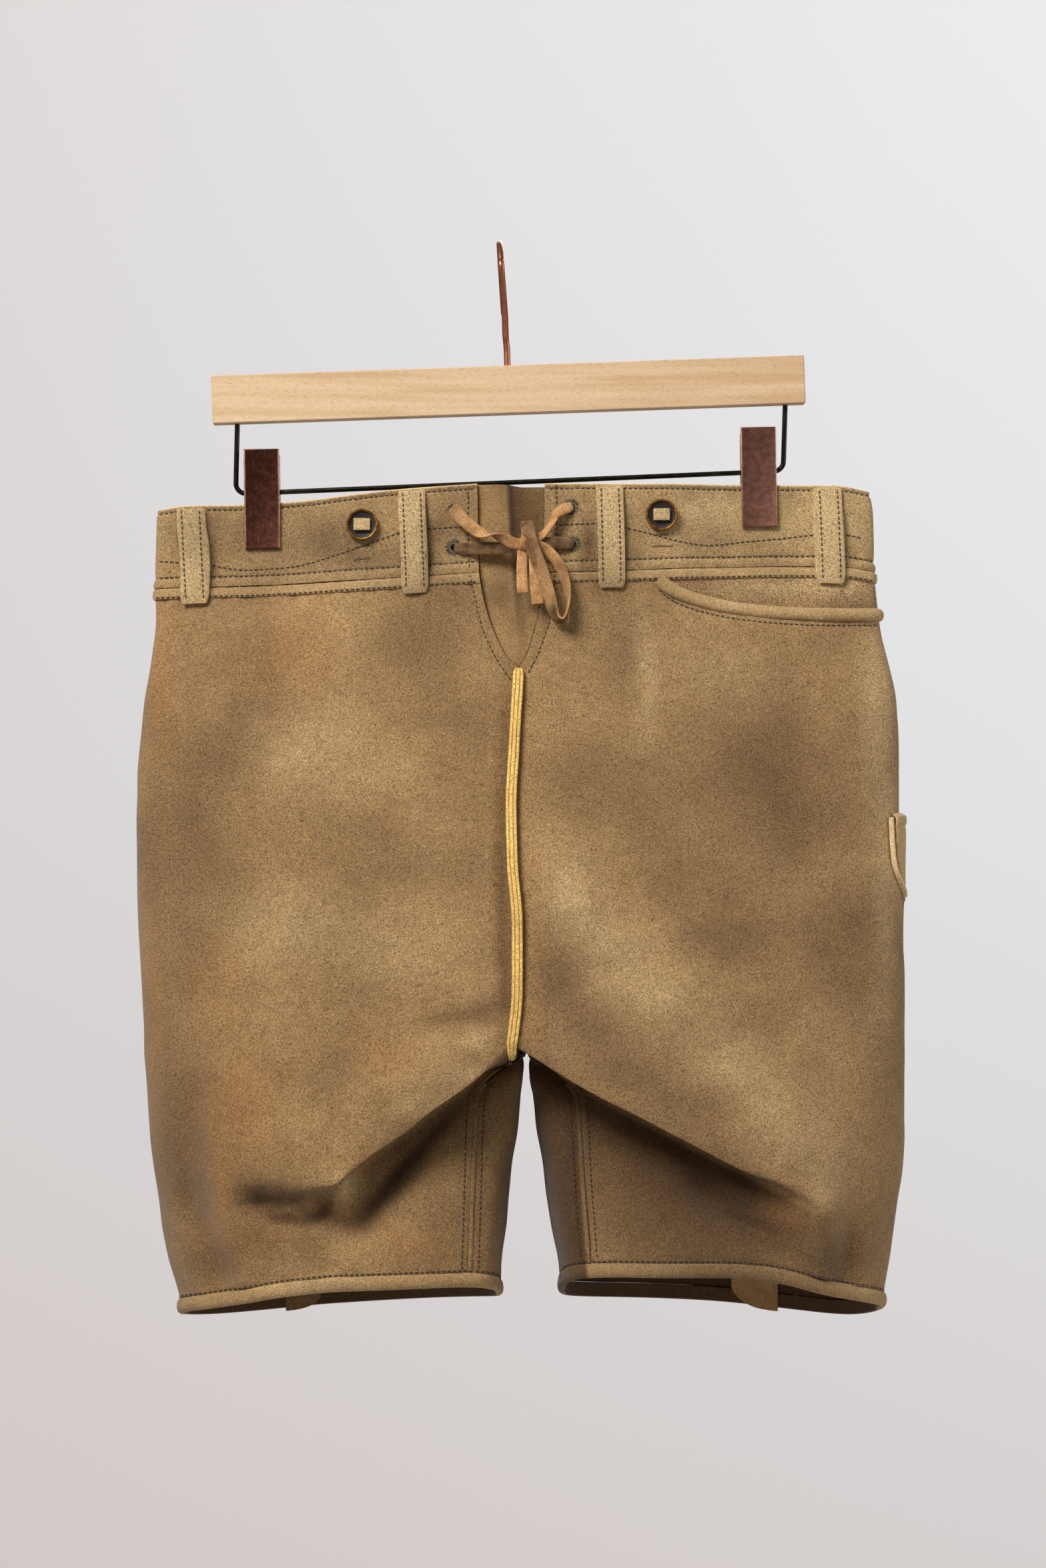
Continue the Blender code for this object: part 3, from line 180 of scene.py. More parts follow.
# %% Tables of the whole shape
OUTLINE = table("z right left",
    (-140, -200.3, 216.5), (-158, -201.2, 219.5), (-190, -202.4, 220.7), (-224, -203.7, 224),
    (-270, -209.1, 233.5), (-330, -213.8, 235.2), (-410.6, -211.8, 237.8), (-472, -209.1, 239.6),
    (-537.8, -203.5, 236.6), (-568.9, -199.2, 233.1), (-600, -193.3, 229.1), (-640, -183.5, 222.5))
INNER = table("z right left",
    (-430, 12.6, 19.3), (-495.6, 11.8, 20), (-545.2, 7.9, 25.5), (-573.2, 5, 29.1), (-600, 2, 33.8),
    (-640, -2.5, 40))
DEPTH = table("z front back square inner_square",
    (-140, 11, 10.5, 6, 40), (-190, 15, 16, 4.6, 40), (-250, 29, 34, 3.5, 40), (-330, 45, 50, 3, 40),
    (-410, 58, 58, 2.8, 40), (-475.5, 66, 60, 2.6, 10), (-500, 67, 60, 2.5, 5), (-540, 65, 60, 2.4, 3.2),
    (-630, 60, 60, 2.3, 2.5))
CENTRE = table("z right left",
    (-140, -13.1, 26.6), (-190, -12.2, 25.7), (-205, -10, 25.1), (-217.5, -6.9, 22.9),
    (-231.1, -1.8, 19.3), (-242.8, 4.5, 15.5), (-249, 11.15, 11.45), (-265, 10.15, 10.45),
    (-290, 8.55, 8.85), (-326, 7.05, 7.35), (-363, 7.85, 8.15), (-400, 10.05, 10.35),
    (-436, 10.15, 10.45), (-468, 7.15, 7.45))
INSEAM = table("z right left",
    (-475.5, 14.2, 17.8), (-486, -3, 33.5), (-498, -13, 45), (-550, -15.3, 48.7), (-620, -17.5, 54))
SIDE_SEAM = {"right": (-0.1516, -0.1255, -0.017), "left": (0.1705, 0.1645, 0.0135)}
BAND_MIDDLE_Z, HEM_Z = -0.17, -0.62
CROTCH = table("z y",
    (-430, 57), (-446, 50), (-457, 39), (-465, 21), (-471, -4), (-475.5, -32))

# %% [markdown]
# Here are the edges that a cutter marks: the band, the lip of each deep fold above the legs,
# the hems round a leg in degrees, and the creases, each as its two ends, its width and how
# far it presses in.

# %% Tables of the waistband, the folds and the hems
BAND = table("part right_top right_bottom left_top left_bottom",
    (0, -140.2, -192.6, -140.1, -192.6), (0.25, -143.6, -195.6, -140.1, -191.3),
    (0.5, -149, -198.5, -140.3, -189.5), (0.7, -151.8, -200.4, -140.5, -188.6),
    (0.9, -153, -201.4, -141.2, -189.2), (1, -155.5, -201.9, -144.5, -192))
BACK_LINE = table("x top bottom",
    (-200, -156, -202.2), (0, -149, -197.5), (220, -145, -192.5))
LIPS = {
    "right": table("part z tuck belly",
        (0, -470, 40, 6), (0.1, -491, 40, 8), (0.2, -506, 40, 10), (0.27, -518, 38, 10),
        (0.35, -529, 34, 10), (0.42, -540, 25, 10), (0.48, -549, 15, 10), (0.54, -554, 8, 10),
        (0.64, -557, 2, 9), (0.78, -558, 0, 6), (1, -558, 0, 0)),
    "left": table("part z tuck belly",
        (0, -470, 40, 6), (0.16, -493, 38, 9), (0.31, -511, 36, 10), (0.5, -533, 25, 10),
        (0.62, -546, 13, 10), (0.7, -555, 7, 10), (0.8, -567, 2, 8), (0.88, -576, 0, 4), (1, -585, 0, 0)),
}
HEM = table("angle right left",
    (0, -629.7, -626.2), (45, -620, -615), (90, -608.5, -600.3), (130, -607, -601), (180, -618.3, -616.5),
    (225, -625.5, -625.5), (270, -631, -630), (315, -635, -635.5), (360, -629.7, -626.2))
CREASES = {
    "front": metres(
        (-134, -557, -110, -561, 9.5, 10.5), (-88, -544, -96, -564, 5.5, -4),
        (-34, -456, -4, -450, 7, 4.2), (-70, -490, -30, -478, 10, -2), (40, -385, 160, -510, 16, -3),
        (160, -543, 187, -564, 9, -4), (187, -564, 188, -595, 8, -4), (122, -552, 162, -585, 10, 7),
        (-176, -500, -177, -560, 11, 4.5), (-177, -560, -160, -598, 10, 5.5),
        (-166, -520, -150, -600, 10, -4), (-40, -514, -84, -566, 13, 7), (200, -580, 197, -602, 9, 5),
        (70, -230, 110, -330, 22, 2), (120, -250, 150, -340, 20, 2), (175, -270, 172, -360, 16, 1.8),
        (-60, -215, -75, -300, 22, 2), (-130, -290, -170, -370, 22, 1.6)),
    "back": metres(
        (-40, -455, -150, -490, 16, 6), (55, -455, 170, -500, 16, 6), (-60, -430, -150, -452, 20, -4),
        (70, -430, 165, -458, 20, -4), (-110, -520, -135, -590, 18, 3), (125, -525, 150, -590, 18, 3)),
}
POCKET = table("x z",
    (89.5, -191.5), (96.3, -199.6), (105.3, -205.1), (120.5, -210.2), (137.3, -213.7), (161.2, -216.4),
    (190.1, -217.6), (240, -217))

# %% [markdown]
# What needs no table: the hide's thickness, the gaps at the seams, where the clips grip, and
# how the columns of the cloth are spread from the front edge to the side seam.

# %% Single measures
GAP = 0.0003
INSEAM_GAP = 0.0009
INSEAM_CORNER_ENDS_Z = -0.51
PANEL_WALL = 0.0018
BAND_WALL = 0.0024
BAND_STANDS_PROUD = 0.0004
MIDDLE_X = 0.0085
CROTCH_X = 0.016
CROTCH_Z = -0.4755
FORK_Z = -0.43
BINDING_HEIGHT = 0.0085
STRIP_HEIGHT = 0.0062
LOOP_WIDTH = 0.0165
TILT = math.radians(-2)
CLIP_X = {"right": -0.14, "left": 0.1527}
JAW = 0.0022
GRIP_FLAT, GRIP_END, GRIP_FADE, GRIP_Z = 0.014, 0.055, 0.05, -0.18
LIP_RADIUS = 0.0055
ROLL_IN = 0.35
INNER_FRONT_LIMIT = 0.93
LIP_FULL_TUCK = 0.02
BELLY_HEIGHT = 0.045
CREST = {"right": 0.006, "left": 0.014}
FRONT_PARTS = (0, 0.07, 0.14, 0.21, 0.28, 0.35, 0.42, 0.49, 0.56, 0.63, 0.7, 0.77, 0.83,
               0.88, 0.925, 0.96, 0.983, 0.996, 1)
WRAP_PARTS = (0.01, 0.045, 0.12, 0.24, 0.42, 0.7, 0.95, 1)
FOLD_COLUMN = len(FRONT_PARTS) - 1
SEAM_COLUMN = FOLD_COLUMN + len(WRAP_PARTS)

# %% [markdown]
# ## The cloth's surface
#
# Cloth that hangs from two clips is pinched flat there and fills out to both sides. Instead
# of a simulation, the wall's depth is worked out in closed form: the depth table gives the
# fullness at a height, a superellipse rounds it off at the side folds, and the clips and
# creases press it in. The same formulas shaped the solids, so the fine cloth lies on them.

# %% Depth of the wall at any place
def rounded(part, square):
    """A superellipse quarter: 1 in the middle, 0 at the edge."""
    return (1 - np.clip(part, 0, 1) ** square) ** (1 / square)


def fullness(side, x, z, leg):
    """Share of the full depth that the wall keeps at x, across the trunk or one leg."""
    edge = read(OUTLINE, side, z)
    trunk = rounded(np.abs((x - MIDDLE_X) / (edge - MIDDLE_X)), read(DEPTH, "square", z))
    centre = (edge + read(INNER, side, z)) / 2
    part = (x - centre) / (edge - centre)
    share = ease(-0.44, -0.53, z)
    outer = mix(trunk, rounded(np.abs(part), read(DEPTH, "square", z)), share)
    inside = 1
    if leg:
        inside = rounded(np.clip(-part, 0, INNER_FRONT_LIMIT), read(DEPTH, "inner_square", z))
    return np.where(part > 0, outer, mix(trunk, 1, share) * inside)


def pressed(face, x, z):
    """How far the creases press the wall in here."""
    total = 0
    for x0, z0, x1, z1, width, press in CREASES[face]:
        length = math.hypot(x1 - x0, z1 - z0)
        along = ((x - x0) * (x1 - x0) + (z - z0) * (z1 - z0)) / length
        across = ((x - x0) * (z1 - z0) - (z - z0) * (x1 - x0)) / length
        past = np.maximum(np.maximum(-along, along - length), 0)
        total = total + press * np.exp(-(across / width) ** 2 - (past / (1.6 * width)) ** 2)
    return total


def wall_y(face, side, x, z, leg=False):
    """Outer face of the cloth, front or back, with the clips' pinch and the creases."""
    depth = read(DEPTH, face, z) * fullness(side, x, z, leg)
    reach = np.abs(x - CLIP_X[side])
    grip = (1 - ease(GRIP_FLAT, GRIP_END, reach)) * ease(GRIP_Z - GRIP_FADE, GRIP_Z, z)
    depth = mix(depth, JAW, grip)
    depth = depth - pressed(face, x, z) * np.clip(depth / 0.02, 0, 1)
    return -depth if face == "front" else depth

# %% [markdown]
# A front is one hide that goes round the side to a seam on the back. Columns are counted from
# its front edge, so one number says how far round a point lies, and height says the rest.
# Points of the front are asked for by both.

# %% Columns of a front
def column_parts(column):
    """(share of the way from the front edge to the side fold, share from there to the seam)"""
    front = np.interp(column, range(FOLD_COLUMN + 1), FRONT_PARTS)
    wrap = np.interp(column, range(FOLD_COLUMN, SEAM_COLUMN + 1), (0,) + WRAP_PARTS)
    return front, wrap


def seam_x(side, z):
    waist, hem, bulge = SIDE_SEAM[side]
    t = (z - BAND_MIDDLE_Z) / (HEM_Z - BAND_MIDDLE_Z)
    return mix(waist, hem, t) + bulge * 4 * t * (1 - t)


def seat_seam_x(z):
    return mix(MIDDLE_X, CROTCH_X, ease(-0.19, CROTCH_Z, z))


def front_x(side, column, z, inner_edge):
    front, wrap = column_parts(column)
    fold = read(OUTLINE, side, z)
    seam = seam_x(side, z) + SIGN[side] * GAP
    return np.where(wrap > 0, mix(fold, seam, wrap), mix(inner_edge, fold, front))


def sheet_y(side, column, x, z, leg):
    """Depth at a front panel's column, which is on the back once it has wrapped round."""
    wrap = column_parts(column)[1]
    return np.where(wrap > 0, wall_y("back", side, x, z, leg), wall_y("front", side, x, z, leg))

# %% [markdown]
# Above the leg's fold the trunk bellies out to a crest. Band, loops and pocket lie on these
# same points, only moved out along the normal, so that nothing floats or sinks in.

# %% Points on the trunk
def belly_out(side, front, z):
    """How far the trunk bellies out: to a crest above its lip, then back in again."""
    lips = LIPS[side]
    above = z - read(lips, "z", front) - CREST[side]
    folded = ease(0, LIP_FULL_TUCK, read(lips, "tuck", front))
    tucked = 1 - ROLL_IN * np.clip(-above / CREST[side], 0, 1) ** 2
    below = mix(bell(above, 0.02), tucked, folded)
    bulge = np.where(above > 0, bell(above, BELLY_HEIGHT), below)
    return read(lips, "belly", front) * bulge


def trunk_front(side, column, z):
    """A point of a front panel above its lip, by column and height."""
    x = front_x(side, column, z, read(CENTRE, side, z))
    front, wrap = column_parts(column)
    y = sheet_y(side, column, x, z, False) - np.where(wrap > 0, 0, belly_out(side, front, z))
    return stacked(x, y, z)


def raised(side, column, z, out):
    """A point moved out from a front panel's outer face, along its normal."""
    column, z, out = np.broadcast_arrays(column, z, out)
    step = 0.05
    across = trunk_front(side, column + step, z) - trunk_front(side, column - step, z)
    down = trunk_front(side, column, z - 0.001) - trunk_front(side, column, z + 0.001)
    normal = unit(np.cross(across, down) * -SIGN[side])
    return trunk_front(side, column, z) + normal * out[..., None]


def column_at(side, x, z):
    """The column on the front whose surface is at x."""
    inner, fold = read(CENTRE, side, z), read(OUTLINE, side, z)
    return float(np.interp((x - inner) / (fold - inner), FRONT_PARTS, range(FOLD_COLUMN + 1)))


def back_point(x, z, out=0):
    """A point of the back above the fork, moved out from its face."""
    x, z = np.broadcast_arrays(x, z)
    y, near, high = (np.where(x < MIDDLE_X, wall_y("back", "right", x + dx, z + dz),
                              wall_y("back", "left", x + dx, z + dz))
                     for dx, dz in ((0, 0), (-0.001, 0), (0, 0.001)))
    normal = unit(stacked(-(y - near) / 0.001, np.ones_like(y), -(high - y) / 0.001))
    return stacked(x, y, z) + normal * np.asarray(out, float)[..., None]

# %% [markdown]
# The hem follows its table round each leg, and the inseam starts in the deep fold and lets go
# of its tuck towards the hem. The band's lines and the pocket's curve cut the top.

# %% Hems, inseams and edges
def inseam_start_y(side):
    lips = LIPS[side]
    x = read(CENTRE, side, lips["z"][0])
    return wall_y("front", side, x, lips["z"][0]) - lips["belly"][0] * (1 - ROLL_IN) + lips["tuck"][0]


def tuck_left(t):
    """How much of a fold's tuck is left, t of the way from the lip to the hem."""
    return (1 - np.clip(t, 0, 1)) ** 1.5


def hem_z(side, x, y):
    """Lower edge of a leg's panels here, where the binding begins."""
    edge, inner = read(OUTLINE, side, HEM_Z), read(INNER, side, HEM_Z)
    depth = np.where(y < 0, read(DEPTH, "front", HEM_Z), read(DEPTH, "back", HEM_Z))
    part = (x - (edge + inner) / 2) / ((edge - inner) / 2)
    angle = np.degrees(np.arctan2(-y / depth, part)) % 360
    return read(HEM, side, angle) + BINDING_HEIGHT + GAP


def inseam_point(side, z):
    x = read(INSEAM, side, z)
    plain = wall_y("front", side, x, z, True)
    plain_top = wall_y("front", side, read(INSEAM, side, CROTCH_Z), CROTCH_Z, True)
    share = tuck_left((CROTCH_Z - z) / (CROTCH_Z - hem_z(side, x, plain)))
    y = plain + (inseam_start_y(side) - plain_top) * share
    return stacked(x, y, z)


def band_line(side, column, which):
    """Top or bottom of the waistband at a front panel's column."""
    front, wrap = column_parts(column)
    at_front = read(BAND, f"{side}_{which}", front)
    return mix(at_front, read(BACK_LINE, which, seam_x(side, BAND_MIDDLE_Z)), wrap)


def panel_top(side, column):
    """Upper edge of a front panel: under the band, or along the pocket's curve."""
    top = band_line(side, column, "bottom") - GAP
    if side == "right":
        return top
    x = front_x(side, column, -0.2, read(CENTRE, side, -0.2))
    wrap = column_parts(column)[1]
    curve = read(POCKET, "z", np.where(wrap > 0, 0.24, x))
    beside = np.where(wrap > 0, curve, top)
    return np.where(x < POCKET["x"][0], beside, np.minimum(top, curve))


print("front edge to side seam:", SEAM_COLUMN, "columns of measures")

# %% [markdown]
# ## Finishes
#
# Each finish starts from the real material. Colours are written as sRGB hex values, as a
# paint chart gives them, and turned to the linear values that light adds up in. One function
# adds a node with its settings and links, so a finish reads like a short recipe.

# %% Colour and node helpers
def colour(code):
    """An sRGB hex value as the linear colour that a shader works with."""
    parts = (int(code[i:i + 2], 16) / 255 for i in (1, 3, 5))
    return (*(p / 12.92 if p <= 0.04045 else ((p + 0.055) / 1.055) ** 2.4 for p in parts), 1)


def add_node(tree, kind, settings=None, at=None, **inputs):
    """One node with its settings and links.

    Inputs come by name, with _ for a space, or by number in `at`. One that is given another
    node's socket is linked to it, and a whole node stands for its first output.
    """
    made = tree.nodes.new("ShaderNode" + kind)
    for name, value in (settings or {}).items():
        if name == "stops":
            ramp = made.color_ramp
            while len(ramp.elements) < len(value):
                ramp.elements.new(0.5)
            for element, (position, code) in zip(ramp.elements, value):
                element.position, element.color = position, colour(code)
        else:
            setattr(made, name, value)
    named = {name.replace("_", " "): value for name, value in inputs.items()}
    for name, value in {**(at or {}), **named}.items():
        if isinstance(value, bpy.types.Node):
            value = value.outputs[0]
        if isinstance(value, bpy.types.NodeSocket):
            tree.links.new(value, made.inputs[name])
        else:
            made.inputs[name].default_value = value
    return made


def emptied(owner):
    """add_node for the emptied tree of a material or a world."""
    owner.use_nodes = True
    owner.node_tree.nodes.clear()
    return functools.partial(add_node, owner.node_tree)


def new_finish(name):
    """An empty material, its add_node, and the place of each point on the object in metres."""
    finish = bpy.data.materials.new(name)
    add = emptied(finish)
    return finish, add, add("TexCoord").outputs["Object"]


def finish_with(add, **inputs):
    """The Principled shader and the output."""
    shader = add("BsdfPrincipled", **inputs)
    add("OutputMaterial", Surface=shader)

# %% [markdown]
# ### Deerskin suede
#
# The hide is napped: its fibres stand up, so it scatters light softly, shows no gloss and
# looks sandy close to. Three sizes of pattern give that: faint clouds of some 50 mm where the
# dye took unevenly, mottling of 8 mm, and the nap's own grain of about 1 mm. Four attributes
# on the cloth add wear and painted light and shade: a pale one where it is rubbed, which also
# carries painted highlights; a warm one where it has tanned; a stain one where it is darkened,
# which also carries painted shadows; and one that is painted shade alone, in folds and hollows
# and inside the legs. The mottling breaks up the first three, so no edge looks drawn.

# %% Suede
def suede(name, light, middle, dark, nap=1):
    finish, add, place = new_finish(name)
    clouds = add("TexNoise", Vector=place, Scale=17, Detail=3)
    mottle = add("TexNoise", Vector=place, Scale=130, Detail=4, Roughness=0.6)
    grain = add("TexNoise", Vector=place, Scale=1250, Detail=2.5, Roughness=0.75)
    patchy = add("Math", {"operation": "MULTIPLY_ADD"}, at={0: mottle, 1: 0.4, 2: -0.2})
    cloudy = add("Math", {"operation": "ADD"}, at={0: clouds, 1: patchy})
    dyed = add("ValToRGB", {"stops": ((0.16, dark), (0.5, middle), (0.82, light))}, Fac=cloudy)
    broken = add("Math", {"operation": "MULTIPLY_ADD"}, at={0: mottle, 1: 1.2, 2: 0.4})
    worn = dyed
    # The pale attribute also carries painted highlights and the stain one painted shadows. The last one
    # is painted shade, taken at full strength.
    for attribute, code, breaks in (("pale", "#c5a676", broken),
                                    ("warm", "#a8743f", broken),
                                    ("stain", "#5b4329", broken),
                                    ("deep", "#3b210b", 1)):
        amount = add("Attribute", {"attribute_name": attribute})
        amount = add("Math", {"operation": "MULTIPLY", "use_clamp": True},
                     at={0: amount.outputs["Fac"], 1: breaks})
        worn = add("Mix", {"data_type": "RGBA"}, at={0: amount, 6: worn, 7: colour(code)}).outputs[2]
    speckle = add("MapRange", Value=grain, From_Min=0.3, From_Max=0.7,
                  To_Min=1 - 0.78 * nap, To_Max=1 + 0.82 * nap)
    coloured = add("VectorMath", {"operation": "SCALE"}, at={0: worn}, Scale=speckle)
    relief = add("Math", {"operation": "MULTIPLY_ADD"}, at={0: mottle, 1: 0.8, 2: grain})
    bump = add("Bump", Height=relief, Strength=0.75, Distance=0.0007)
    finish_with(add, Base_Color=coloured, Roughness=0.95, Specular_IOR_Level=0.2,
                Sheen_Weight=0.12, Sheen_Roughness=0.6, Normal=bump)
    return finish


PANEL_SUEDE = suede("deerskin_suede", "#b08d5e", "#97764d", "#7b5e3c")
BAND_SUEDE = suede("waistband_suede", "#b9986a", "#a18257", "#836849")
LOOP_SUEDE = suede("belt_loop_suede", "#cdb081", "#bc9e70", "#a2865d")
FACING_SUEDE = suede("coarse_suede", "#9c7c52", "#866844", "#6d5334", nap=1.3)
BINDING_SUEDE = suede("rolled_suede", "#c0a074", "#ab8a5c", "#8f7048", nap=0.8)
EDGE_SUEDE = suede("raw_cut_edge", "#f0d6a8", "#e2c28e", "#c49c66", nap=0.6)
WELT_SUEDE = suede("ochre_welt_suede", "#f9da93", "#edc570", "#cda055", nap=0.9)
GUSSET_SUEDE = suede("soft_gusset_suede", "#b39263", "#a28052", "#876741", nap=0.7)
print("suedes made:", [m.name for m in bpy.data.materials if "suede" in m.name])

# %% [markdown]
# ### Thong leather
#
# The lace is a strip of the same hide with both faces showing: a smoother tan grain side and
# a brown flesh side. An attribute `flesh` says which side a point belongs to.

# %% Lace leather
LACE, add, place = new_finish("lace_leather")
pores = add("TexNoise", Vector=place, Scale=1500, Detail=3)
tone = add("TexNoise", Vector=place, Scale=160, Detail=3)
grain_side = add("ValToRGB", {"stops": ((0.3, "#9f7044"), (0.6, "#c59562"))}, Fac=tone)
flesh_side = add("ValToRGB", {"stops": ((0.3, "#493018"), (0.65, "#7c5f3f"))}, Fac=tone)
flesh = add("Attribute", {"attribute_name": "flesh"})
skin = add("Mix", {"data_type": "RGBA"}, at={0: flesh.outputs["Fac"], 6: grain_side, 7: flesh_side})
speckle = add("MapRange", Value=pores, From_Min=0.3, From_Max=0.7, To_Min=0.58, To_Max=1.42)
coloured = add("VectorMath", {"operation": "SCALE"}, at={0: skin.outputs[2]}, Scale=speckle)
bump = add("Bump", Height=pores, Strength=0.4, Distance=0.0004)
finish_with(add, Base_Color=coloured, Roughness=0.8, Specular_IOR_Level=0.3,
            Normal=bump)

# %% [markdown]
# ### Sewing thread
#
# The seams are sewn in linen thread, waxed and dyed dark brown, and the eyelets worked in silk
# of a dark petrol. The twist is finer than half a millimetre, so a wave stands for it.

# %% Thread
def thread(name, code, dark):
    finish, add, place = new_finish(name)
    twist = add("TexWave", {"bands_direction": "DIAGONAL"}, Vector=place, Scale=520, Distortion=1.5)
    shade = add("ValToRGB", {"stops": ((0.2, dark), (0.8, code))}, Fac=twist)
    finish_with(add, Base_Color=shade, Roughness=0.7)
    return finish


SEAM_THREAD = thread("waxed_linen_thread", "#4c4232", "#261e14")
EYELET_THREAD = thread("petrol_silk_twist", "#2b463c", "#0e1b16")

# %% [markdown]
# ### Horn and brass
#
# The buttons are horn, nearly black and softly polished, held in a brass ring that has
# browned with wear.

# %% Button finishes
def clouded(name, scale, dark, light, detail=3, **inputs):
    """A finish in two tones that change in soft clouds."""
    finish, add, place = new_finish(name)
    cloud = add("TexNoise", Vector=place, Scale=scale, Detail=detail)
    shade = add("ValToRGB", {"stops": (dark, light)}, Fac=cloud)
    finish_with(add, Base_Color=shade, **inputs)
    return finish


HORN = clouded("polished_horn", 300, (0.35, "#171112"), (0.7, "#2c1f1f"), Roughness=0.42, IOR=1.54)
BRASS = clouded("browned_brass", 420, (0.3, "#5a3413"), (0.7, "#b07c34"), Roughness=0.45, Metallic=0.8)
# Painted shade: the middle of each eyelet cup is near black, where the hole is.
EYELET_HOLE_SHADE, add, place = new_finish("dark_eyelet_hole")
finish_with(add, Base_Color=colour("#140d07"), Roughness=0.9, Specular_IOR_Level=0.1)

# %% [markdown]
# ### Hanger finishes
#
# The bar is beech, sanded and clear lacquered: pale, with the short brown flecks that its
# rays leave, 2 to 4 mm long.

# %% Beech
BEECH, add, place = new_finish("lacquered_beech")
turned_grain = add("Mapping", Vector=place, Rotation=(0, -0.32, 0), Scale=(55, 260, 420))
flecks = add("TexNoise", Vector=turned_grain, Scale=6.4, Detail=2, Roughness=0.5)
rings = add("Mapping", Vector=place, Scale=(3, 30, 60))
bands = add("TexNoise", Vector=rings, Scale=3, Detail=2)
wood = add("ValToRGB", {"stops": ((0.35, "#cfa97f"), (0.65, "#dfc098"))}, Fac=bands)
fleck = add("MapRange", Value=flecks, From_Min=0.59, From_Max=0.66, To_Min=0, To_Max=0.6)
grained = add("Mix", {"data_type": "RGBA"}, at={0: fleck, 6: wood, 7: colour("#96643c")})
bump = add("Bump", Height=flecks, Strength=0.15, Distance=0.0003)
finish_with(add, Base_Color=grained.outputs[2], Roughness=0.48, Coat_Weight=0.15, Normal=bump)

# %% [markdown]
# ### Plated metals
#
# The wire is steel bronzed nearly black, the hook copper plated wire, and the clips copper
# plated steel that was darkened and rubbed. One recipe serves them all: two tones in clouds
# of some 3 mm, with fine paler scratches in two directions.

# %% Metals
def plated(name, dark, light, scratch, roughness, rubbed=0.5):
    """Darkened plating: soft clouds, and fine paler scratches where it has been rubbed."""
    finish, add, place = new_finish(name)
    cloud = add("TexNoise", Vector=place, Scale=330, Detail=5, Roughness=0.7)
    shade = add("ValToRGB", {"stops": ((0.36, dark), (0.66, light))}, Fac=cloud)
    worn = shade
    for turn, across in (((0.3, 0.5, 0), 1300), ((0.2, -0.9, 0.4), 1700)):
        streak = add("Mapping", Vector=place, Rotation=turn, Scale=(across, 300, 70))
        lines = add("TexNoise", Vector=streak, Scale=1.6)
        amount = add("MapRange", Value=lines, From_Min=0.68, From_Max=0.76, To_Min=0, To_Max=rubbed)
        worn = add("Mix", {"data_type": "RGBA"}, at={0: amount, 6: worn, 7: colour(scratch)}).outputs[2]
    bump = add("Bump", Height=cloud, Strength=0.15, Distance=0.0002)
    finish_with(add, Base_Color=worn, Metallic=1, Roughness=roughness, Normal=bump)
    return finish


CLIP_METAL = plated("antiqued_copper", "#452820", "#6a4033", "#c98a6c", 0.42)
# The clip on the left gets a paler copy of the same plating.
PALER_CLIP_METAL = plated("handled_copper", "#825748", "#aa7865", "#dba58a", 0.42)
RUBBED_METAL = plated("rubbed_copper", "#c08a72", "#e6b8a0", "#f2d0bc", 0.35)
WIRE_METAL = plated("bronzed_wire", "#24231d", "#3e3a30", "#6a6250", 0.32, 0.3)
HOOK_METAL = plated("copper_wire", "#a8684e", "#c07c60", "#dba88c", 0.42, 0.2)
print("finishes:", len(bpy.data.materials))

# %% [markdown]
# ## Making the cloth
#
# A pattern piece is a grid of points: rows down the garment and columns across it. The grid
# becomes a mesh, and Solidify gives it the hide's thickness towards the inside, with the cut
# edge in its own paler finish. That keeps each piece one closed shell, with the folds that
# the grid was given. Cloth simulation would lose the match with the solids, so the hang is
# worked out and small unevenness is added on top.

# %% Unevenness
def uneven(x, z, size, seed):
    """Smooth bumps about `size` across, from -1 to 1, the same on every run."""
    values = np.random.RandomState(seed).uniform(-1, 1, (97, 97))
    u, v = x / size + 40, z / size + 60
    i, j = np.floor(u).astype(int), np.floor(v).astype(int)
    s, t = u - i, v - j
    s, t = s * s * (3 - 2 * s), t * t * (3 - 2 * t)
    corner = [[values[(i + a) % 97, (j + b) % 97] for b in (0, 1)] for a in (0, 1)]
    return (mix(mix(corner[0][0], corner[1][0], s), mix(corner[0][1], corner[1][1], s), t))

# %% [markdown]
# Stains sit where hands and thighs have rubbed, tanned spots along the folds and the outer
# edge, and pale ones on what stands proud. Painted shadows sit among the stains and painted
# highlights among the pale ones. The last list is painted shade in the tightest folds and
# beside the welt. Each is a soft oval patch. The painted shade under each fold's lip has a
# table along the fold, from the front edge outwards.

# %% Places of wear, painted light and painted shade
def patches(*rows):
    """Soft oval patches: (x, z, half width, half height) in millimetres, and per cent."""
    return np.array(rows, float) * (MM, MM, MM, MM, 0.01)


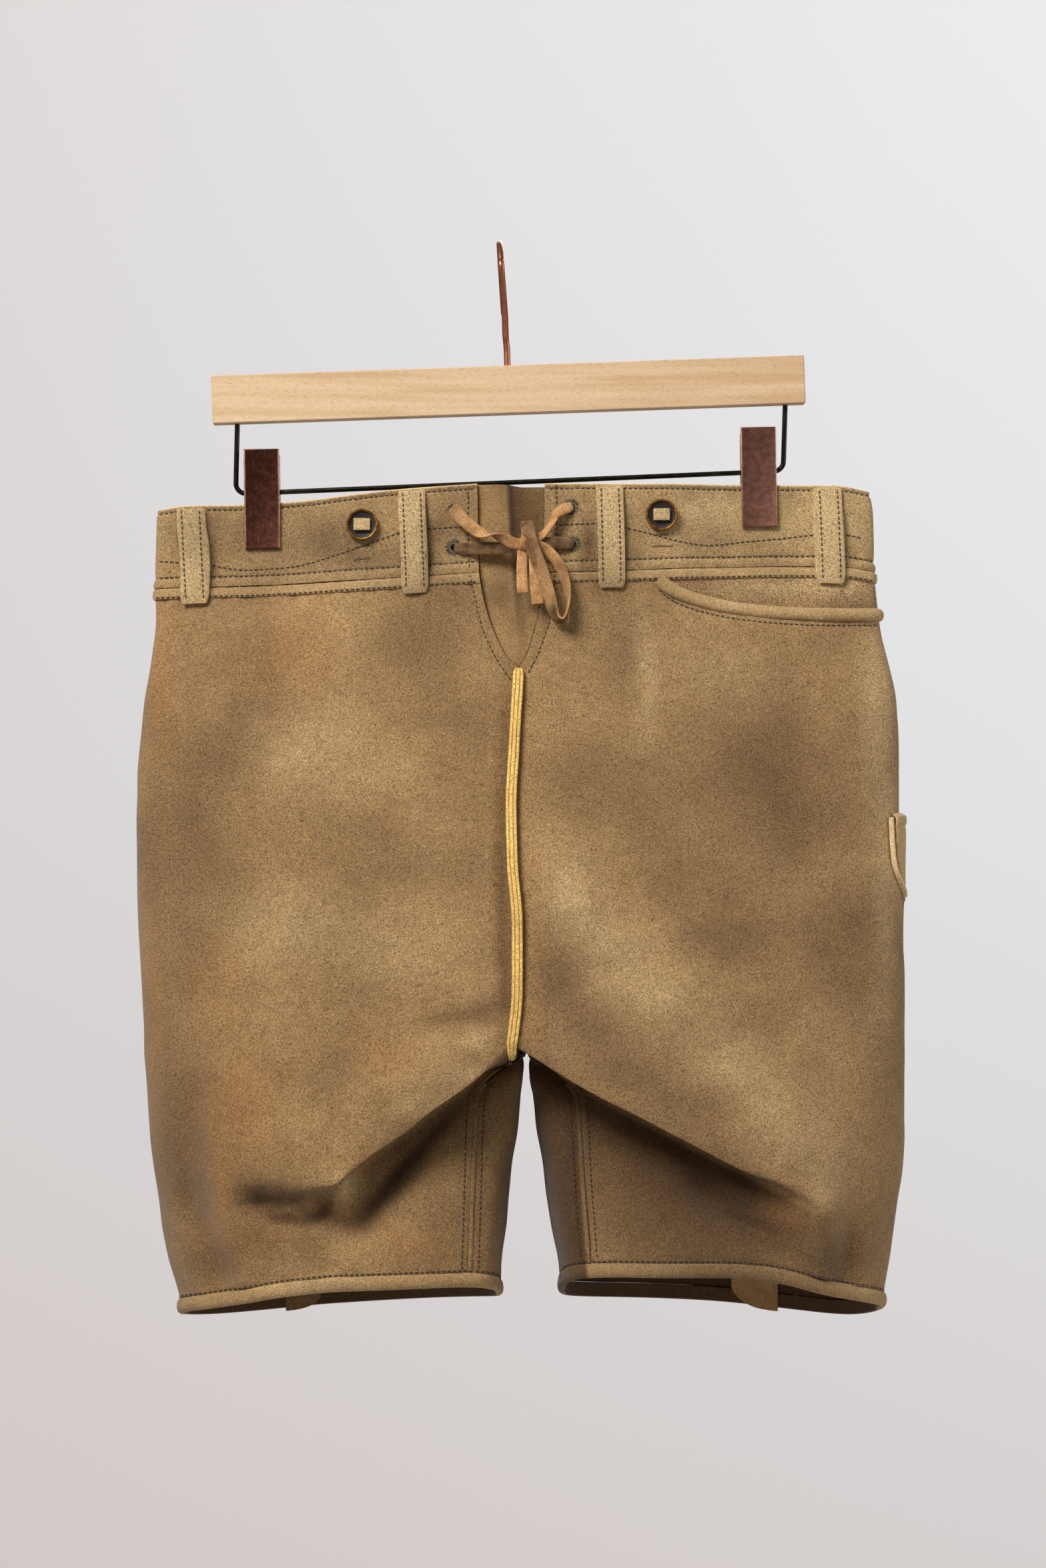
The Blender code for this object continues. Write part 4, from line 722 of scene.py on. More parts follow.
WEAR_LIGHT_AND_SHADE = {
    # Stains, and painted shadows beside the belt loops and the lace on the band, under the lip of the
    # left fold and in a crease down the outer right leg.
    "stain": patches(
        (-179, -336, 20, 26, 60), (-50, -232, 34, 24, 60), (-46, -362, 26, 18, 40),
        (-73, -342, 18, 12, 25), (58, -315, 28, 30, 30), (147, -305, 26, 36, 45), (168, -351, 22, 26, 50),
        (168, -288, 14, 20, 35), (137, -409, 26, 14, 45), (-20, -210, 14, 10, 40),
        (190, -593, 20, 11, 60), (200, -440, 20, 40, 30), (120, -550, 26, 12, 60), (90, -563, 30, 24, 40),
        (-174.5, -520, 12, 40, 60), (-174, -560, 12, 26, 70), (-164, -592, 14, 14, 80),
        (-190, -520, 16, 75, 60), (-184, -400, 24, 50, 45), (-160, -380, 22, 22, 30),
        (34, -428, 14, 22, 55), (54, -456, 18, 14, 60), (80, -482, 22, 12, 50), (110, -503, 22, 10, 40),
        (115, -325, 50, 55, 30), (52, -176, 6, 18, 100), (-40, -184, 6, 10, 80), (80, -184, 5, 10, 50),
        (-28, -160, 12, 22, 50), (125, -600, 50, 8, 40), (-203, -310, 12, 60, 35),
        (-200, -375, 14, 30, 35), (98, -495, 30, 11, 50), (69, -480, 22, 12, 45), (100, -574, 32, 22, 60),
        (130, -582, 34, 16, 50), (182, -588, 26, 18, 55), (78, -550, 22, 22, 40),
        (-174, -168, 30, 14, 50), (-97, -171, 20, 14, 70), (-34, -201, 16, 10, 55),
        (-37, -165, 9, 10, 70), (-136, -192, 24, 12, 40), (-170, -490, 30, 60, 25),
        (174, -326, 30, 40, 20), (-83, -185, 22, 12, 70), (-170, -300, 22, 20, 45),
        (-105, -172, 20, 12, 35), (-21, -452, 14, 6, 35), (78, -470, 30, 18, 20), (60, -200, 18, 14, 30),
        (-135, -250, 10, 30, 25)),
    "warm": patches(
        (-161, -430, 16, 26, 50), (-150, -500, 26, 40, 55), (-164, -555, 10, 45, 90),
        (-67, -471, 18, 14, 50), (-77, -534, 20, 10, 45), (-119, -242, 24, 32, 50),
        (-134, -577, 30, 12, 45), (-50, -581, 30, 12, 45), (-102, -561, 10, 5, 80),
        (163, -566, 14, 12, 90), (-200, -250, 10, 50, 60), (-202, -450, 10, 90, 60),
        (20, -440, 4, 100, 30), (45, -500, 30, 12, 35)),
    # Pale wear, and painted highlights along the outer edge of the left side and on the ridge at the end
    # of the right fold.
    "pale": patches(
        (-109, -294, 34, 30, 50), (-124, -398, 38, 22, 45), (-61, -411, 30, 20, 35),
        (41, -380, 14, 22, 90), (60, -405, 20, 14, 55), (90, -438, 22, 14, 55), (134, -478, 24, 14, 55),
        (172, -520, 22, 14, 45), (232, -345, 9, 30, 90), (86.5, -255, 7, 36, 50), (74, -423, 22, 16, 45),
        (116, -457, 26, 18, 20), (155, -504, 22, 18, 40), (186, -546, 14, 16, 50),
        (129, -249, 30, 20, 30), (222, -268, 10, 60, 70), (226, -384, 8, 60, 50),
        (-192, -396, 10, 30, 30), (128, -155, 34, 12, 100), (190, -162, 30, 22, 80),
        (190, -199.5, 50, 6, 80), (-19, -483, 12, 6, 60), (-42, -500, 16, 6, 40), (-89.5, -548, 6, 9, 90),
        (-12, -462, 10, 6, 50)),
    # Painted shade in the pit at the end of the right fold, beside the centre welt and under the lip of
    # the left fold.
    "deep": patches(
        (-138, -555, 10, 6, 65), (-122, -565.5, 14, 4.2, 80), (-108, -567, 13, 3.8, 65),
        (-99, -561, 5, 5.5, 55), (-120, -553, 20, 5.5, 50), (-128, -559, 12, 5, 50),
        (3.5, -300, 3.5, 30, 30), (1.5, -370, 4.5, 50, 45), (3.5, -430, 4.5, 30, 45),
        (-6, -452, 6, 4, 35), (128, -553, 13, 10, 45), (139, -564, 12, 8, 55), (154, -579, 14, 7, 40)),
}
# Painted shade under each fold's lip, by part of the way out: near is how dark just under the lip, and
# far is how dark at valley millimetres lower.
SHADE_UNDER_LIPS = {
    "right": table("part near valley far",
        (0, 0.6, 4, 0.6), (0.12, 0.6, 6, 0.6), (0.2, 0.6, 10, 0.85), (0.3, 0.6, 17, 0.9),
        (0.38, 0.5, 24, 0.75), (0.43, 0.1, 27, 0.35), (0.5, 0, 30, 0), (1, 0, 30, 0)),
    "left": table("part near valley far",
        (0, 0.7, 10, 0.5), (0.15, 0.75, 15, 0.4), (0.3, 0.9, 20, 0.4), (0.45, 0.96, 26, 0.7),
        (0.58, 0.92, 24, 0.85), (0.66, 0.6, 20, 0.7), (0.74, 0.25, 14, 0.35), (0.82, 0.1, 10, 0.1),
        (0.88, 0, 8, 0), (1, 0, 8, 0)),
}

# %% [markdown]
# Under the folds, on the inner leg and inside a hem, shade is painted into the colour as a
# dark brown. How dark is worked out from the distance below the fold's lip.

# %% Painted shade
def spots(places, points):
    """How strongly a list of soft oval patches covers each point, 0 to 1."""
    x, z = points[:, 0], points[:, 2]
    bare = np.ones(len(points))
    for at_x, at_z, across, up, amount in places:
        near = ((x - at_x) / across) ** 2 + ((z - at_z) / up) ** 2
        bare = bare * (1 - amount * np.exp(-near))
    return 1 - bare


FOLD_SHADE = {"right": 0.022, "left": 0.054}
INNER_LEG_SHADE = {"right": 0.12, "left": 0.8}


def painted_shade_amount(points, normals):
    """Painted shade: under the folds, on the inner leg and inside a hem."""
    x, y, z = points.T
    deep = np.zeros(len(points))
    for side in SIDES:
        mine = (x < CROTCH_X) if side == "right" else (x >= CROTCH_X)
        part = np.clip((x - MIDDLE_X) / (read(OUTLINE, side, z) - MIDDLE_X), 0, 1)
        below = read(LIPS[side], "z", part) - z
        near, valley, far = (read(SHADE_UNDER_LIPS[side], name, part) for name in ("near", "valley", "far"))
        fold = near * bell(below, FOLD_SHADE[side])
        fold = np.maximum(fold, far * bell(below - valley, 0.01))
        fold = fold * ease(-0.003, 0.003, below) * (y < 0)
        seam = read(INSEAM, side, z)
        inner = (np.abs(x - MIDDLE_X) < np.abs(seam - MIDDLE_X) - 0.001) & (z < -0.474)
        inner = inner * INNER_LEG_SHADE[side] * ease(0.474, 0.484, -z) * (1 - ease(-0.01, 0.015, y))
        deep = np.where(mine, np.maximum(fold, inner), deep)
    # Painted shade on the faces turned inwards inside each hem, and the listed patches of painted shade
    # in front.
    inside = (z < -0.47) & (y * normals[:, 1] < 0) & (np.abs(y) > 0.01)
    deep = np.maximum(deep, spots(WEAR_LIGHT_AND_SHADE["deep"], points) * (y < 0))
    return np.maximum(deep, 0.85 * inside * ease(0.47, 0.482, -z))

# %% [markdown]
# Wear, painted light and painted shade are written on a mesh, one value for each point,
# under the names that the suede reads.

# %% Painting a mesh
def vectors_of(items, what):
    """The points' places or normals of a mesh, one row each."""
    flat = np.empty(len(items) * 3)
    items.foreach_get(what, flat)
    return flat.reshape(-1, 3)


def write(mesh, name, values):
    """Keeps one value for each point of a mesh, as an attribute that finishes can read."""
    attribute = mesh.attributes.get(name) or mesh.attributes.new(name, "FLOAT", "POINT")
    attribute.data.foreach_set("value", np.full(len(mesh.vertices), values, float))


def paint(mesh):
    """Wear, stains, painted light and painted shade: patches in front, bumps behind, shade in folds."""
    points = vectors_of(mesh.vertices, "co")
    normals = vectors_of(mesh.vertex_normals, "vector")
    behind = points[:, 1] > 0
    cloud = uneven(points[:, 0], points[:, 2], 0.055, 5)
    other = uneven(points[:, 0], points[:, 2], 0.07, 6)
    at_back = {"stain": np.clip(cloud * 0.7 - 0.1, 0, 1), "pale": np.clip(other * 0.8, 0, 1),
               "warm": np.clip(-cloud * 0.5 - 0.1, 0, 1)}
    for name, share in (("stain", 0.8), ("warm", 0.6), ("pale", 0.8)):
        write(mesh, name, np.where(behind, at_back[name], spots(WEAR_LIGHT_AND_SHADE[name], points)) * share)
    write(mesh, "deep", painted_shade_amount(points, normals))

# %% [markdown]
# Every piece of hide, and every trim, welt and thong, comes from the next few helpers: a grid
# of points becomes a mesh, and the mesh gets its finish and its frame calls.

# %% Meshes and places in the scene
def grid_mesh(name, points, flip, closed=False):
    """Quads over a grid of rows and columns. Closed: the columns join up, the ends are capped."""
    rows, columns = points.shape[:2]
    index = np.arange(rows * columns).reshape(rows, columns)
    if closed:
        index = np.hstack([index, index[:, :1]])
    quads = stacked(index[:-1, :-1], index[1:, :-1], index[1:, 1:], index[:-1, 1:])
    quads = quads.reshape(-1, 4)
    quads = quads[:, ::-1] if flip else quads
    faces = quads.tolist()
    if closed:
        first, last = index[0, :-1].tolist(), index[-1, :-1].tolist()
        faces += [first[::-1], last] if flip else [first, last[::-1]]
    mesh = bpy.data.meshes.new(name)
    mesh.from_pydata(points.reshape(-1, 3).tolist(), [], faces)
    mesh.validate()
    return mesh


def only(obj):
    """Makes obj the one selected and active object, as a click on it does."""
    bpy.ops.object.select_all(action="DESELECT")
    obj.select_set(True)
    bpy.context.view_layer.objects.active = obj


def added(primitive, **settings):
    """A new object from one of Blender's own, with nothing else selected."""
    bpy.ops.object.select_all(action="DESELECT")
    primitive(**settings)
    return bpy.context.object


def hand_over(obj, nodes=()):
    """The piece rides on the root and replaces its CAD nodes."""
    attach(obj, "root")
    if nodes:
        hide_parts(*nodes)
    return obj


def placed(name, mesh, finishes, nodes=(), sharp=60):
    """Puts a finished mesh into the scene: it rides on the root and replaces its CAD nodes."""
    obj = bpy.data.objects.new(name, mesh)
    bpy.context.scene.collection.objects.link(obj)
    for finish in finishes:
        mesh.materials.append(finish)
    only(obj)
    bpy.ops.object.shade_smooth_by_angle(angle=math.radians(sharp))
    return hand_over(obj, nodes)

# %% [markdown]
# A piece of hide has its flat size measured off along its rows and columns, and printed.
# Where its raw edge shows, the outermost strip slants in, as a knife leaves it.

# %% Cloth
def outward_normals(points, flip):
    normal = np.cross(np.gradient(points, axis=0), np.gradient(points, axis=1))
    return unit(normal * (-1 if flip else 1))


def cloth(name, points, wall, flip, finish, node=None, edge=None, raw="", drop=0.0008):
    """A piece of hide from its outer face, thickened inwards, with a raw cut edge.

    `raw` names the edges whose bevelled cut shows from outside: t(op), b(ottom), the first
    column l and the last column r. The outermost strip there drops by `drop`.
    """
    points = np.array(points, float)
    rows, columns = points.shape[:2]
    rings = {"t": (0, slice(None)), "b": (-1, slice(None)), "l": (slice(None), 0), "r": (slice(None), -1)}
    inward = outward_normals(points, flip) * drop
    lowered = np.zeros((rows, columns), bool)
    for side in raw:
        lowered[rings[side]] = True
    points = points - inward * lowered[..., None]
    obj = placed(name, grid_mesh(name, points, flip), [finish, edge or EDGE_SUEDE],
                 [node] if node else ())
    cut = np.zeros((rows - 1, columns - 1), np.int32)
    for side in raw:
        cut[rings[side]] = 1
    obj.data.polygons.foreach_set("material_index", cut.ravel())
    shell = obj.modifiers.new("hide thickness", "SOLIDIFY")
    shell.thickness, shell.offset, shell.material_offset_rim = wall, -1, 1
    bpy.ops.object.modifier_apply(modifier=shell.name)
    bpy.ops.object.shade_smooth_by_angle(angle=math.radians(60))
    paint(obj.data)
    down = np.linalg.norm(np.diff(points, axis=0), axis=2)
    over = np.linalg.norm(np.diff(points, axis=1), axis=2)
    length, width = max(float(down.sum(0).max()), 0.01), max(float(over.sum(1).max()), 0.01)
    area = float(0.5 * ((down[:, 1:] + down[:, :-1]) * (over[1:] + over[:-1]) * 0.5).sum())
    area = min(area, width * length)
    print(f"{name}: cut {width * 1000:.0f} x {length * 1000:.0f} mm")
    return obj

# %% [markdown]
# A welt, a piping, a rolled hem or a thong has one profile all along, so it is swept: the
# profile is set square to the line at each of its points, and may grow or shrink along it.

# %% Swept trims
def framed(centres, outward):
    """Directions across and out from a line, square to its run."""
    run = unit(np.gradient(centres, axis=0))
    outward = unit(outward - run * (outward * run).sum(1, keepdims=True))
    return np.cross(run, outward), outward


def swept(name, centres, outward, profile, finishes, slot, nodes=(), sharp=60, grow=(1, 1)):
    """A trim: a profile of (across, out) carried along a line and capped at both ends.

    `grow` says how much wider and how much thicker the profile is, along the line.
    """
    across, out = framed(centres, outward)
    grow = np.stack([np.full(len(centres), share) for share in grow], -1)
    shape = np.array(profile, float) * grow[:, None]
    points = (centres[:, None] + across[:, None] * shape[..., :1] + out[:, None] * shape[..., 1:])
    x, y = shape[0].T
    inside_out = (x * np.roll(y, -1) - np.roll(x, -1) * y).sum() < 0
    obj = placed(name, grid_mesh(name, points, inside_out, closed=True), finishes, nodes, sharp)
    if slot == "suede":
        paint(obj.data)
    return obj


def refined(values, times):
    """Points put in between a line's or a grid's rows, on a smooth curve through them."""
    values = np.asarray(values, float)
    padded = np.concatenate([2 * values[:1] - values[1:2], values, 2 * values[-1:] - values[-2:-1]])
    result = []
    for i in range(len(values) - 1):
        a, b, c, d = padded[i:i + 4]
        for t in np.arange(times) / times:
            result.append(b + 0.5 * t * (c - a + t * (2 * a - 5 * b + 4 * c - d
                                                      + t * (3 * (b - c) + d - a))))
    return np.array(result + [values[-1]])

# %% [markdown]
# ## The lace
#
# A flat thong 7.2 mm wide runs through four worked eyelets and is tied in a half bow. It is
# three free ends and a knot: the lower crossing that ends short, the upper one whose end
# stands up and twists over, and the one that makes the bow's loop and ends long. Each is a
# flat tube swept along its route, which is given by how far it stands out from the
# waistband, and by its twist.

# %% Ribbon
def band_face(x, z):
    """Depth of the waistband's outer face near the fly."""
    side = np.where(x > MIDDLE_X, wall_y("front", "left", np.maximum(x, MIDDLE_X), z),
                    wall_y("front", "right", np.minimum(x, MIDDLE_X), z))
    return side - BAND_STANDS_PROUD


LACE_WIDTH, LACE_THICKNESS = 0.0072, 0.0015
HALF_RIBBON = np.array(((-1, -0.4), (-0.9, -1), (-0.45, -1.12), (0, -1.15), (0.45, -1.12), (0.9, -1),
                        (1, -0.4))) * (LACE_WIDTH / 2, LACE_THICKNESS / 2)
RIBBON = np.vstack([HALF_RIBBON, -HALF_RIBBON])


def ribbon(name, route, nodes):
    """A free thong along (x, z, out, turn, width, flesh in front) points."""
    x, z, out, turn, width, flesh = refined(route, 6).T
    centres = stacked(x, band_face(x, z) - out, z)
    across, front = framed(centres, np.tile([0, -1, 0], (len(centres), 1)))
    twist = np.radians(turn)[:, None]
    outward = front * np.cos(twist) + across * np.sin(twist)
    obj = swept(name, centres, outward, RIBBON, [LACE], "lace_leather", nodes, 80, (width, 1))
    count = len(RIBBON)
    face = np.tile([y > 0 for _, y in RIBBON], len(centres))
    edge = np.tile([abs(x) > 0.95 * LACE_WIDTH / 2 for x, _ in RIBBON], len(centres))
    front_flesh = np.repeat(np.clip(flesh, 0, 1), count)
    values = np.where(face, front_flesh, 1 - front_flesh) * np.where(edge, 0.1, 1)
    write(obj.data, "flesh", values)
    return obj, centres

# %% [markdown]
# Each row of a route is a place across and up, how far it stands out, its turn in degrees,
# its width, and how much of the flesh side shows. The knot is one turn of the same thong
# round the crossing.

# %% The three free ends and the knot
LACE_ROUTES = {
    "lace_short_end": (("lace_cross_right", "lace_end_short"), "LL", (
        (-26.2, -178.3, 0.8, 0, 0.5, 1), (-24, -178.4, 1.8, 0, 0.8, 1), (-19.5, -178.5, 2.6, 0, 0.96, 1),
        (-9, -178.7, 4.8, 0, 1, 0.9), (0, -178.8, 6.6, 0, 1, 1), (8, -178.4, 7.4, 0, 0.9, 1),
        (11.8, -179.2, 7.6, 0, 0.7, 0.5), (13.2, -183, 8.4, 0, 0.8, 0), (13.1, -190, 9.2, 0, 0.88, 0),
        (13.2, -197, 9.3, 0, 0.9, 0), (13.6, -205.2, 8.8, 0, 0.92, 0))),
    "lace_twisted_end": (("lace_upper", "lace_end_upper"), "UR", (
        (42.5, -153.7, 0.6, 0, 0.55, 0), (40, -154.6, 2.2, 5, 0.85, 0), (36.2, -156.4, 3.6, 15, 0.9, 0),
        (33, -159.2, 5, 40, 0.85, 0), (30.2, -164.8, 6.2, 55, 0.8, 0), (25.7, -170.6, 6.6, 45, 0.75, 0),
        (20, -173.8, 6.8, 20, 0.8, 0), (14, -176, 7.6, 0, 0.85, 0), (8.5, -176.2, 9.2, -12, 0.95, 0),
        (3, -173.5, 10.4, -35, 1, 0), (-2.8, -171.6, 10.8, -75, 1, 0.5), (-7.8, -170.8, 10.4, -125, 1, 1),
        (-12.4, -169.4, 9.6, -160, 1, 0.9), (-17.5, -165.6, 8.8, -178, 1, 0.8),
        (-23, -160.6, 8.4, -180, 1.04, 0.75), (-28.4, -155.3, 8.4, -180, 1.06, 0.65))),
    "lace_bow_end": (("lace_cross_left", "lace_loop", "lace_end_long"), "LR", (
        (43.2, -176.3, 0.8, 0, 0.55, 1), (40.8, -176.1, 2, 0, 0.8, 1), (36, -175.8, 3.4, 0, 1, 1),
        (30, -175.7, 4.6, 0, 1, 1), (24, -175.2, 5, 0, 0.9, 1), (19, -173, 5.6, 0, 0.8, 1),
        (16.5, -169, 7.2, 0, 0.85, 1), (16, -166.4, 9.8, 0, 0.95, 1), (16.3, -166.3, 11.8, 0, 1.06, 0.7),
        (17.2, -171.2, 12.4, 0, 1.1, 0.7), (19.5, -179, 12.4, 4, 1.1, 0.7),
        (22.8, -188, 12.2, 10, 1.1, 0.7), (26.2, -197.5, 11.8, 16, 1.1, 0.5),
        (29, -207, 11.2, 26, 1.1, 0.4), (31, -215, 10.6, 42, 1.1, 1), (33.2, -220, 10, 60, 1.1, 1),
        (36.2, -221.6, 9.2, 72, 1.1, 1), (38.8, -219, 8.6, 84, 1.1, 1), (40, -212.5, 8, 98, 1.1, 0.6),
        (39.6, -205, 7.4, 118, 1.1, 0.5), (38, -197, 7, 136, 1.05, 0.5), (35, -189.2, 6.6, 146, 1, 0.6),
        (30.8, -183, 6.6, 156, 0.95, 1), (26.2, -178.5, 7, 165, 0.8, 1), (22.2, -177.2, 6.4, 180, 0.7, 1),
        (20.5, -180, 6.6, 180, 0.8, 1), (20.6, -187, 7.8, 180, 0.92, 1), (21, -196, 8.4, 180, 0.96, 1),
        (21.7, -204, 8.6, 180, 1, 1), (22.4, -211.8, 8.6, 180, 1, 1))),
}
for name, (nodes, eyelet, route) in LACE_ROUTES.items():
    end, line = ribbon(name, np.array(route, float) * (MM, MM, MM, 1, 1, 1), nodes)
    print(f"{name}: {measured(line) * 1000:.1f} mm from eyelet {eyelet}")

KNOT_CENTRE, KNOT_RADII = np.array((0.0158, -0.0226, -0.1745)), (0.0036, 0.0052)
turn = np.linspace(0, math.tau, 33)[:-1]
ring = KNOT_CENTRE + stacked(0.0012 * np.sin(turn), KNOT_RADII[0] * np.cos(turn),
                               KNOT_RADII[1] * np.sin(turn))
ring = np.vstack([ring, ring[:1] + (0.0004, 0, 0)])
lace_knot = swept("lace_wrap", ring, ring - KNOT_CENTRE, RIBBON, [LACE], "lace_leather", ["lace_knot"])

# %% [markdown]
# ## The two fronts
#
# Each front is one piece from the waist to the hem. The tail of the trunk bellies out and
# tucks under in a deep fold where the leg begins, because the shorts are cut for a sitting
# wearer.

# %% Relief of the fronts
def seam_pull(x, z, side):
    """The hide dips towards the centre seam and puckers a little beside it."""
    away = np.abs(x - read(CENTRE, side, z))
    below_fly = ease(-0.243, -0.256, z)
    pucker = 0.00022 * np.sin(z * math.tau / 0.0095 + 1.2 * uneven(x, z, 0.02, 3))
    return below_fly * bell(away, 0.0065) * (-0.0022 + pucker)


def front_relief(side, x, z):
    soft = 0.001 * uneven(x, z, 0.048, 11) + 0.00045 * uneven(x, z, 0.017, 12)
    streak = 0.0005 * uneven(x * 3 + z * 0.8, z * 0.5, 0.04, 13)
    from_fly = np.abs(x - read(CENTRE, side, z))
    placket = 0.0006 * bell(from_fly - 0.0028, 0.002) \
        - 0.0006 * bell(from_fly - 0.0062, 0.0013)
    placket = placket * ease(-0.252, -0.243, z)
    below_band = bell(z + 0.205, 0.016)
    puckers = 0.0003 * below_band * np.sin(x * math.tau / 0.012 + 2 * uneven(x, z, 0.03, 8))
    return soft + streak + puckers + placket + seam_pull(x, z, side)

# %% [markdown]
# The rows follow the trunk down to the lip of the fold, round its curl, and down the leg.
# The tuck that the fold takes in is let out again by the hem.

# %% Rows of a front
def front_rows(side, columns, trunk_count, leg_count):
    """Rows of a front: (trunk, the curl's few rows, leg)."""
    front, wrap = column_parts(columns)
    lips = LIPS[side]
    lip_z, tuck = read(lips, "z", front), read(lips, "tuck", front)
    folded = ease(0, LIP_FULL_TUCK, tuck)
    first_z = lip_z + mix(0.012, LIP_RADIUS, folded)
    top = panel_top(side, columns)
    shares = np.r_[0, 0.004, np.linspace(0.012, 1, trunk_count - 2)]
    trunk = [trunk_front(side, columns, mix(top, first_z, t)) for t in shares]
    last = trunk[-1]
    valley_z = lip_z + mix(-0.0075, 0.002, ease(0, 0.15, front)) \
        + 0.0075 * ease(0.1, 0.25, front) * ease(0.004, 0.02, tuck)
    start_z = mix(lip_z - 0.012, valley_z, folded)
    start_x = front_x(side, columns, start_z, read(INSEAM, side, start_z))
    plain_start = sheet_y(side, columns, start_x, start_z, True)
    soft_start = (1 - folded) * belly_out(side, front, start_z)
    start_y = mix(plain_start, last[:, 1] + tuck, folded) - soft_start
    curl = []
    for k, (radii, tucks, drop) in enumerate(((0.29, 0, -0.71), (1, 0, -1),
                                              (0, 0.55, -0.6)), 1):
        plain_z = mix(first_z, start_z, k / 4)
        x = mix(last[:, 0], start_x, k / 4)
        curled_y = last[:, 1] + LIP_RADIUS * radii + tuck * tucks
        plain_y = sheet_y(side, columns, x, plain_z, True) - belly_out(side, front, plain_z)
        y = mix(plain_y, curled_y, folded)
        curl.append(stacked(x, y, mix(plain_z, first_z + LIP_RADIUS * drop, folded)))
    hem_x = front_x(side, columns, HEM_Z, read(INSEAM, side, HEM_Z))
    end_z = hem_z(side, hem_x, sheet_y(side, columns, hem_x, HEM_Z, True))
    leg = []
    for t in np.linspace(0, 1, leg_count):
        z = mix(start_z, end_z, t)
        x = front_x(side, columns, z, read(INSEAM, side, z) + SIGN[side] * INSEAM_GAP)
        soft = (1 - folded) * belly_out(side, front, z)
        y = sheet_y(side, columns, x, z, True) - soft \
            + (start_y + soft_start - plain_start) * tuck_left(t)
        leg.append(stacked(x, y, z))
    return np.array(trunk), np.array(curl), np.array(leg)

# %% [markdown]
# Between the few rows of the curl a smooth curve fills in. Then the soft unevenness is added
# along the normals, calmer near the fold and the edges.

# %% Fronts
def fine_columns(per_column):
    return np.linspace(0, SEAM_COLUMN, SEAM_COLUMN * per_column + 1)


front_hem, fronts = {}, {}
for side in SIDES:
    trunk, curl, leg = front_rows(side, fine_columns(7), 155, 66)
    near = np.concatenate([trunk[-4:-3], trunk[-1:], curl, leg[:1], leg[3:4]])
    bend = refined(near, 7)[7:-7]
    grid = np.concatenate([trunk, bend[1:-1], leg])
    flip = side == "right"
    relief = front_relief(side, grid[..., 0], grid[..., 2])
    rim = np.minimum(ease(0, 4, np.arange(len(grid))), ease(0, 4, np.arange(len(grid))[::-1]))
    seam = ease(0, 6, np.arange(grid.shape[1])[::-1])
    lip_z = read(LIPS[side], "z", column_parts(fine_columns(7))[0])
    calm = 1 - 0.85 * bell(grid[..., 2] - lip_z, 0.014)
    relief = relief * rim[:, None] * seam[None] * calm
    grid = grid + outward_normals(grid, flip) * relief[..., None]
    fronts[side] = cloth(f"front_panel_{side}", grid, PANEL_WALL, flip, PANEL_SUEDE, f"front_{side}")
    front_hem[side] = front_rows(side, np.arange(SEAM_COLUMN + 1), 3, 10)[2][-1]

# %% [markdown]
# The curl pinches the hide at one spot of the lip on the wearer's right. A maker smooths such
# a spot over a wooden form; here the points round it are smoothed by the mesh editor.

# %% Smoothing the pinched spot
PINCHED, PINCH_RADIUS = Vector((-0.0415, -0.0726, -0.5043)), 0.0045


@contextlib.contextmanager
def editing(obj, select=None):
    """Edit mode on one object, with its points selected or not, and object mode after it."""
    only(obj)
    bpy.ops.object.mode_set(mode="EDIT")
    if select:
        bpy.ops.mesh.select_all(action=select)
    yield
    bpy.ops.object.mode_set(mode="OBJECT")


front = fronts["right"]
with editing(front, "DESELECT"):
    bpy.ops.mesh.select_mode(type="VERT")
for vertex in front.data.vertices:
    vertex.select = (vertex.co - PINCHED).length < PINCH_RADIUS
with editing(front):
    bpy.ops.mesh.vertices_smooth(factor=0.5, repeat=14)
print("points smoothed:", sum(vertex.select for vertex in front.data.vertices))

# %% [markdown]
# ## The two backs
#
# Each back runs from the side seam across the seat, and below the fork it wraps round the
# inner leg to the inseam on the front. Every row is a level line measured off along its own
# length, so the columns stay evenly spaced round the bend.

# %% Level lines of a back
def back_section(side, level):
    """The line of a back panel at one level, from the side seam inwards, as (x, y)."""
    start = seam_x(side, level) - SIGN[side] * GAP
    middle = seat_seam_x(level) + SIGN[side] * GAP / 2
    if level >= FORK_Z:
        x = np.linspace(start, middle, 200)
        return stacked(x, wall_y("back", side, x, level))
    inner, edge = read(INNER, side, level), read(OUTLINE, side, level)
    centre, square = (edge + inner) / 2, read(DEPTH, "inner_square", level)
    x = np.linspace(start, centre, 120)
    line = [stacked(x, wall_y("back", side, x, level, True))]
    turn = np.linspace(0, 1, 200)[1:] ** 0.5 * math.pi / 2
    x = centre + (inner - centre) * np.sin(turn) ** (2 / square)
    full = wall_y("back", side, centre, level, True)
    inside = wall_y("back", side, x, level) / full
    line.append(stacked(x, full * np.cos(turn) ** (2 / square) * np.minimum(inside, 1.1)))
    line = np.concatenate(line)
    end_y = read(CROTCH, "y", level)
    if level > CROTCH_Z + 1e-6:
        if end_y > 0:
            line = line[np.r_[True, line[1:, 1] > end_y] | (np.arange(len(line)) < 150)]
        line = np.vstack([line, [inner, end_y]])
    else:
        seam = inseam_point(side, level)
        turn = np.linspace(0, math.pi / 2, 120)[1:]
        x = inner + (seam[0] - inner) * (1 - np.cos(turn) ** (2 / square))
        line = np.concatenate([line, stacked(x, seam[1] * np.sin(turn) ** (2 / square))])
    height = read(CROTCH, "z", line[:, 1], "y")
    near = np.exp(-np.maximum(height - level, 0) / 0.006)
    wall = np.clip((line[:, 0] - centre) / (inner - centre), 0, 1) ** 6
    line[:, 0] += (middle - inner) * near * wall
    return line

# %% [markdown]
# A row of the back takes points at set shares of its level line. On the leg its two ends are
# drawn to the side seam and to the inseam, so that the edges meet the front's.

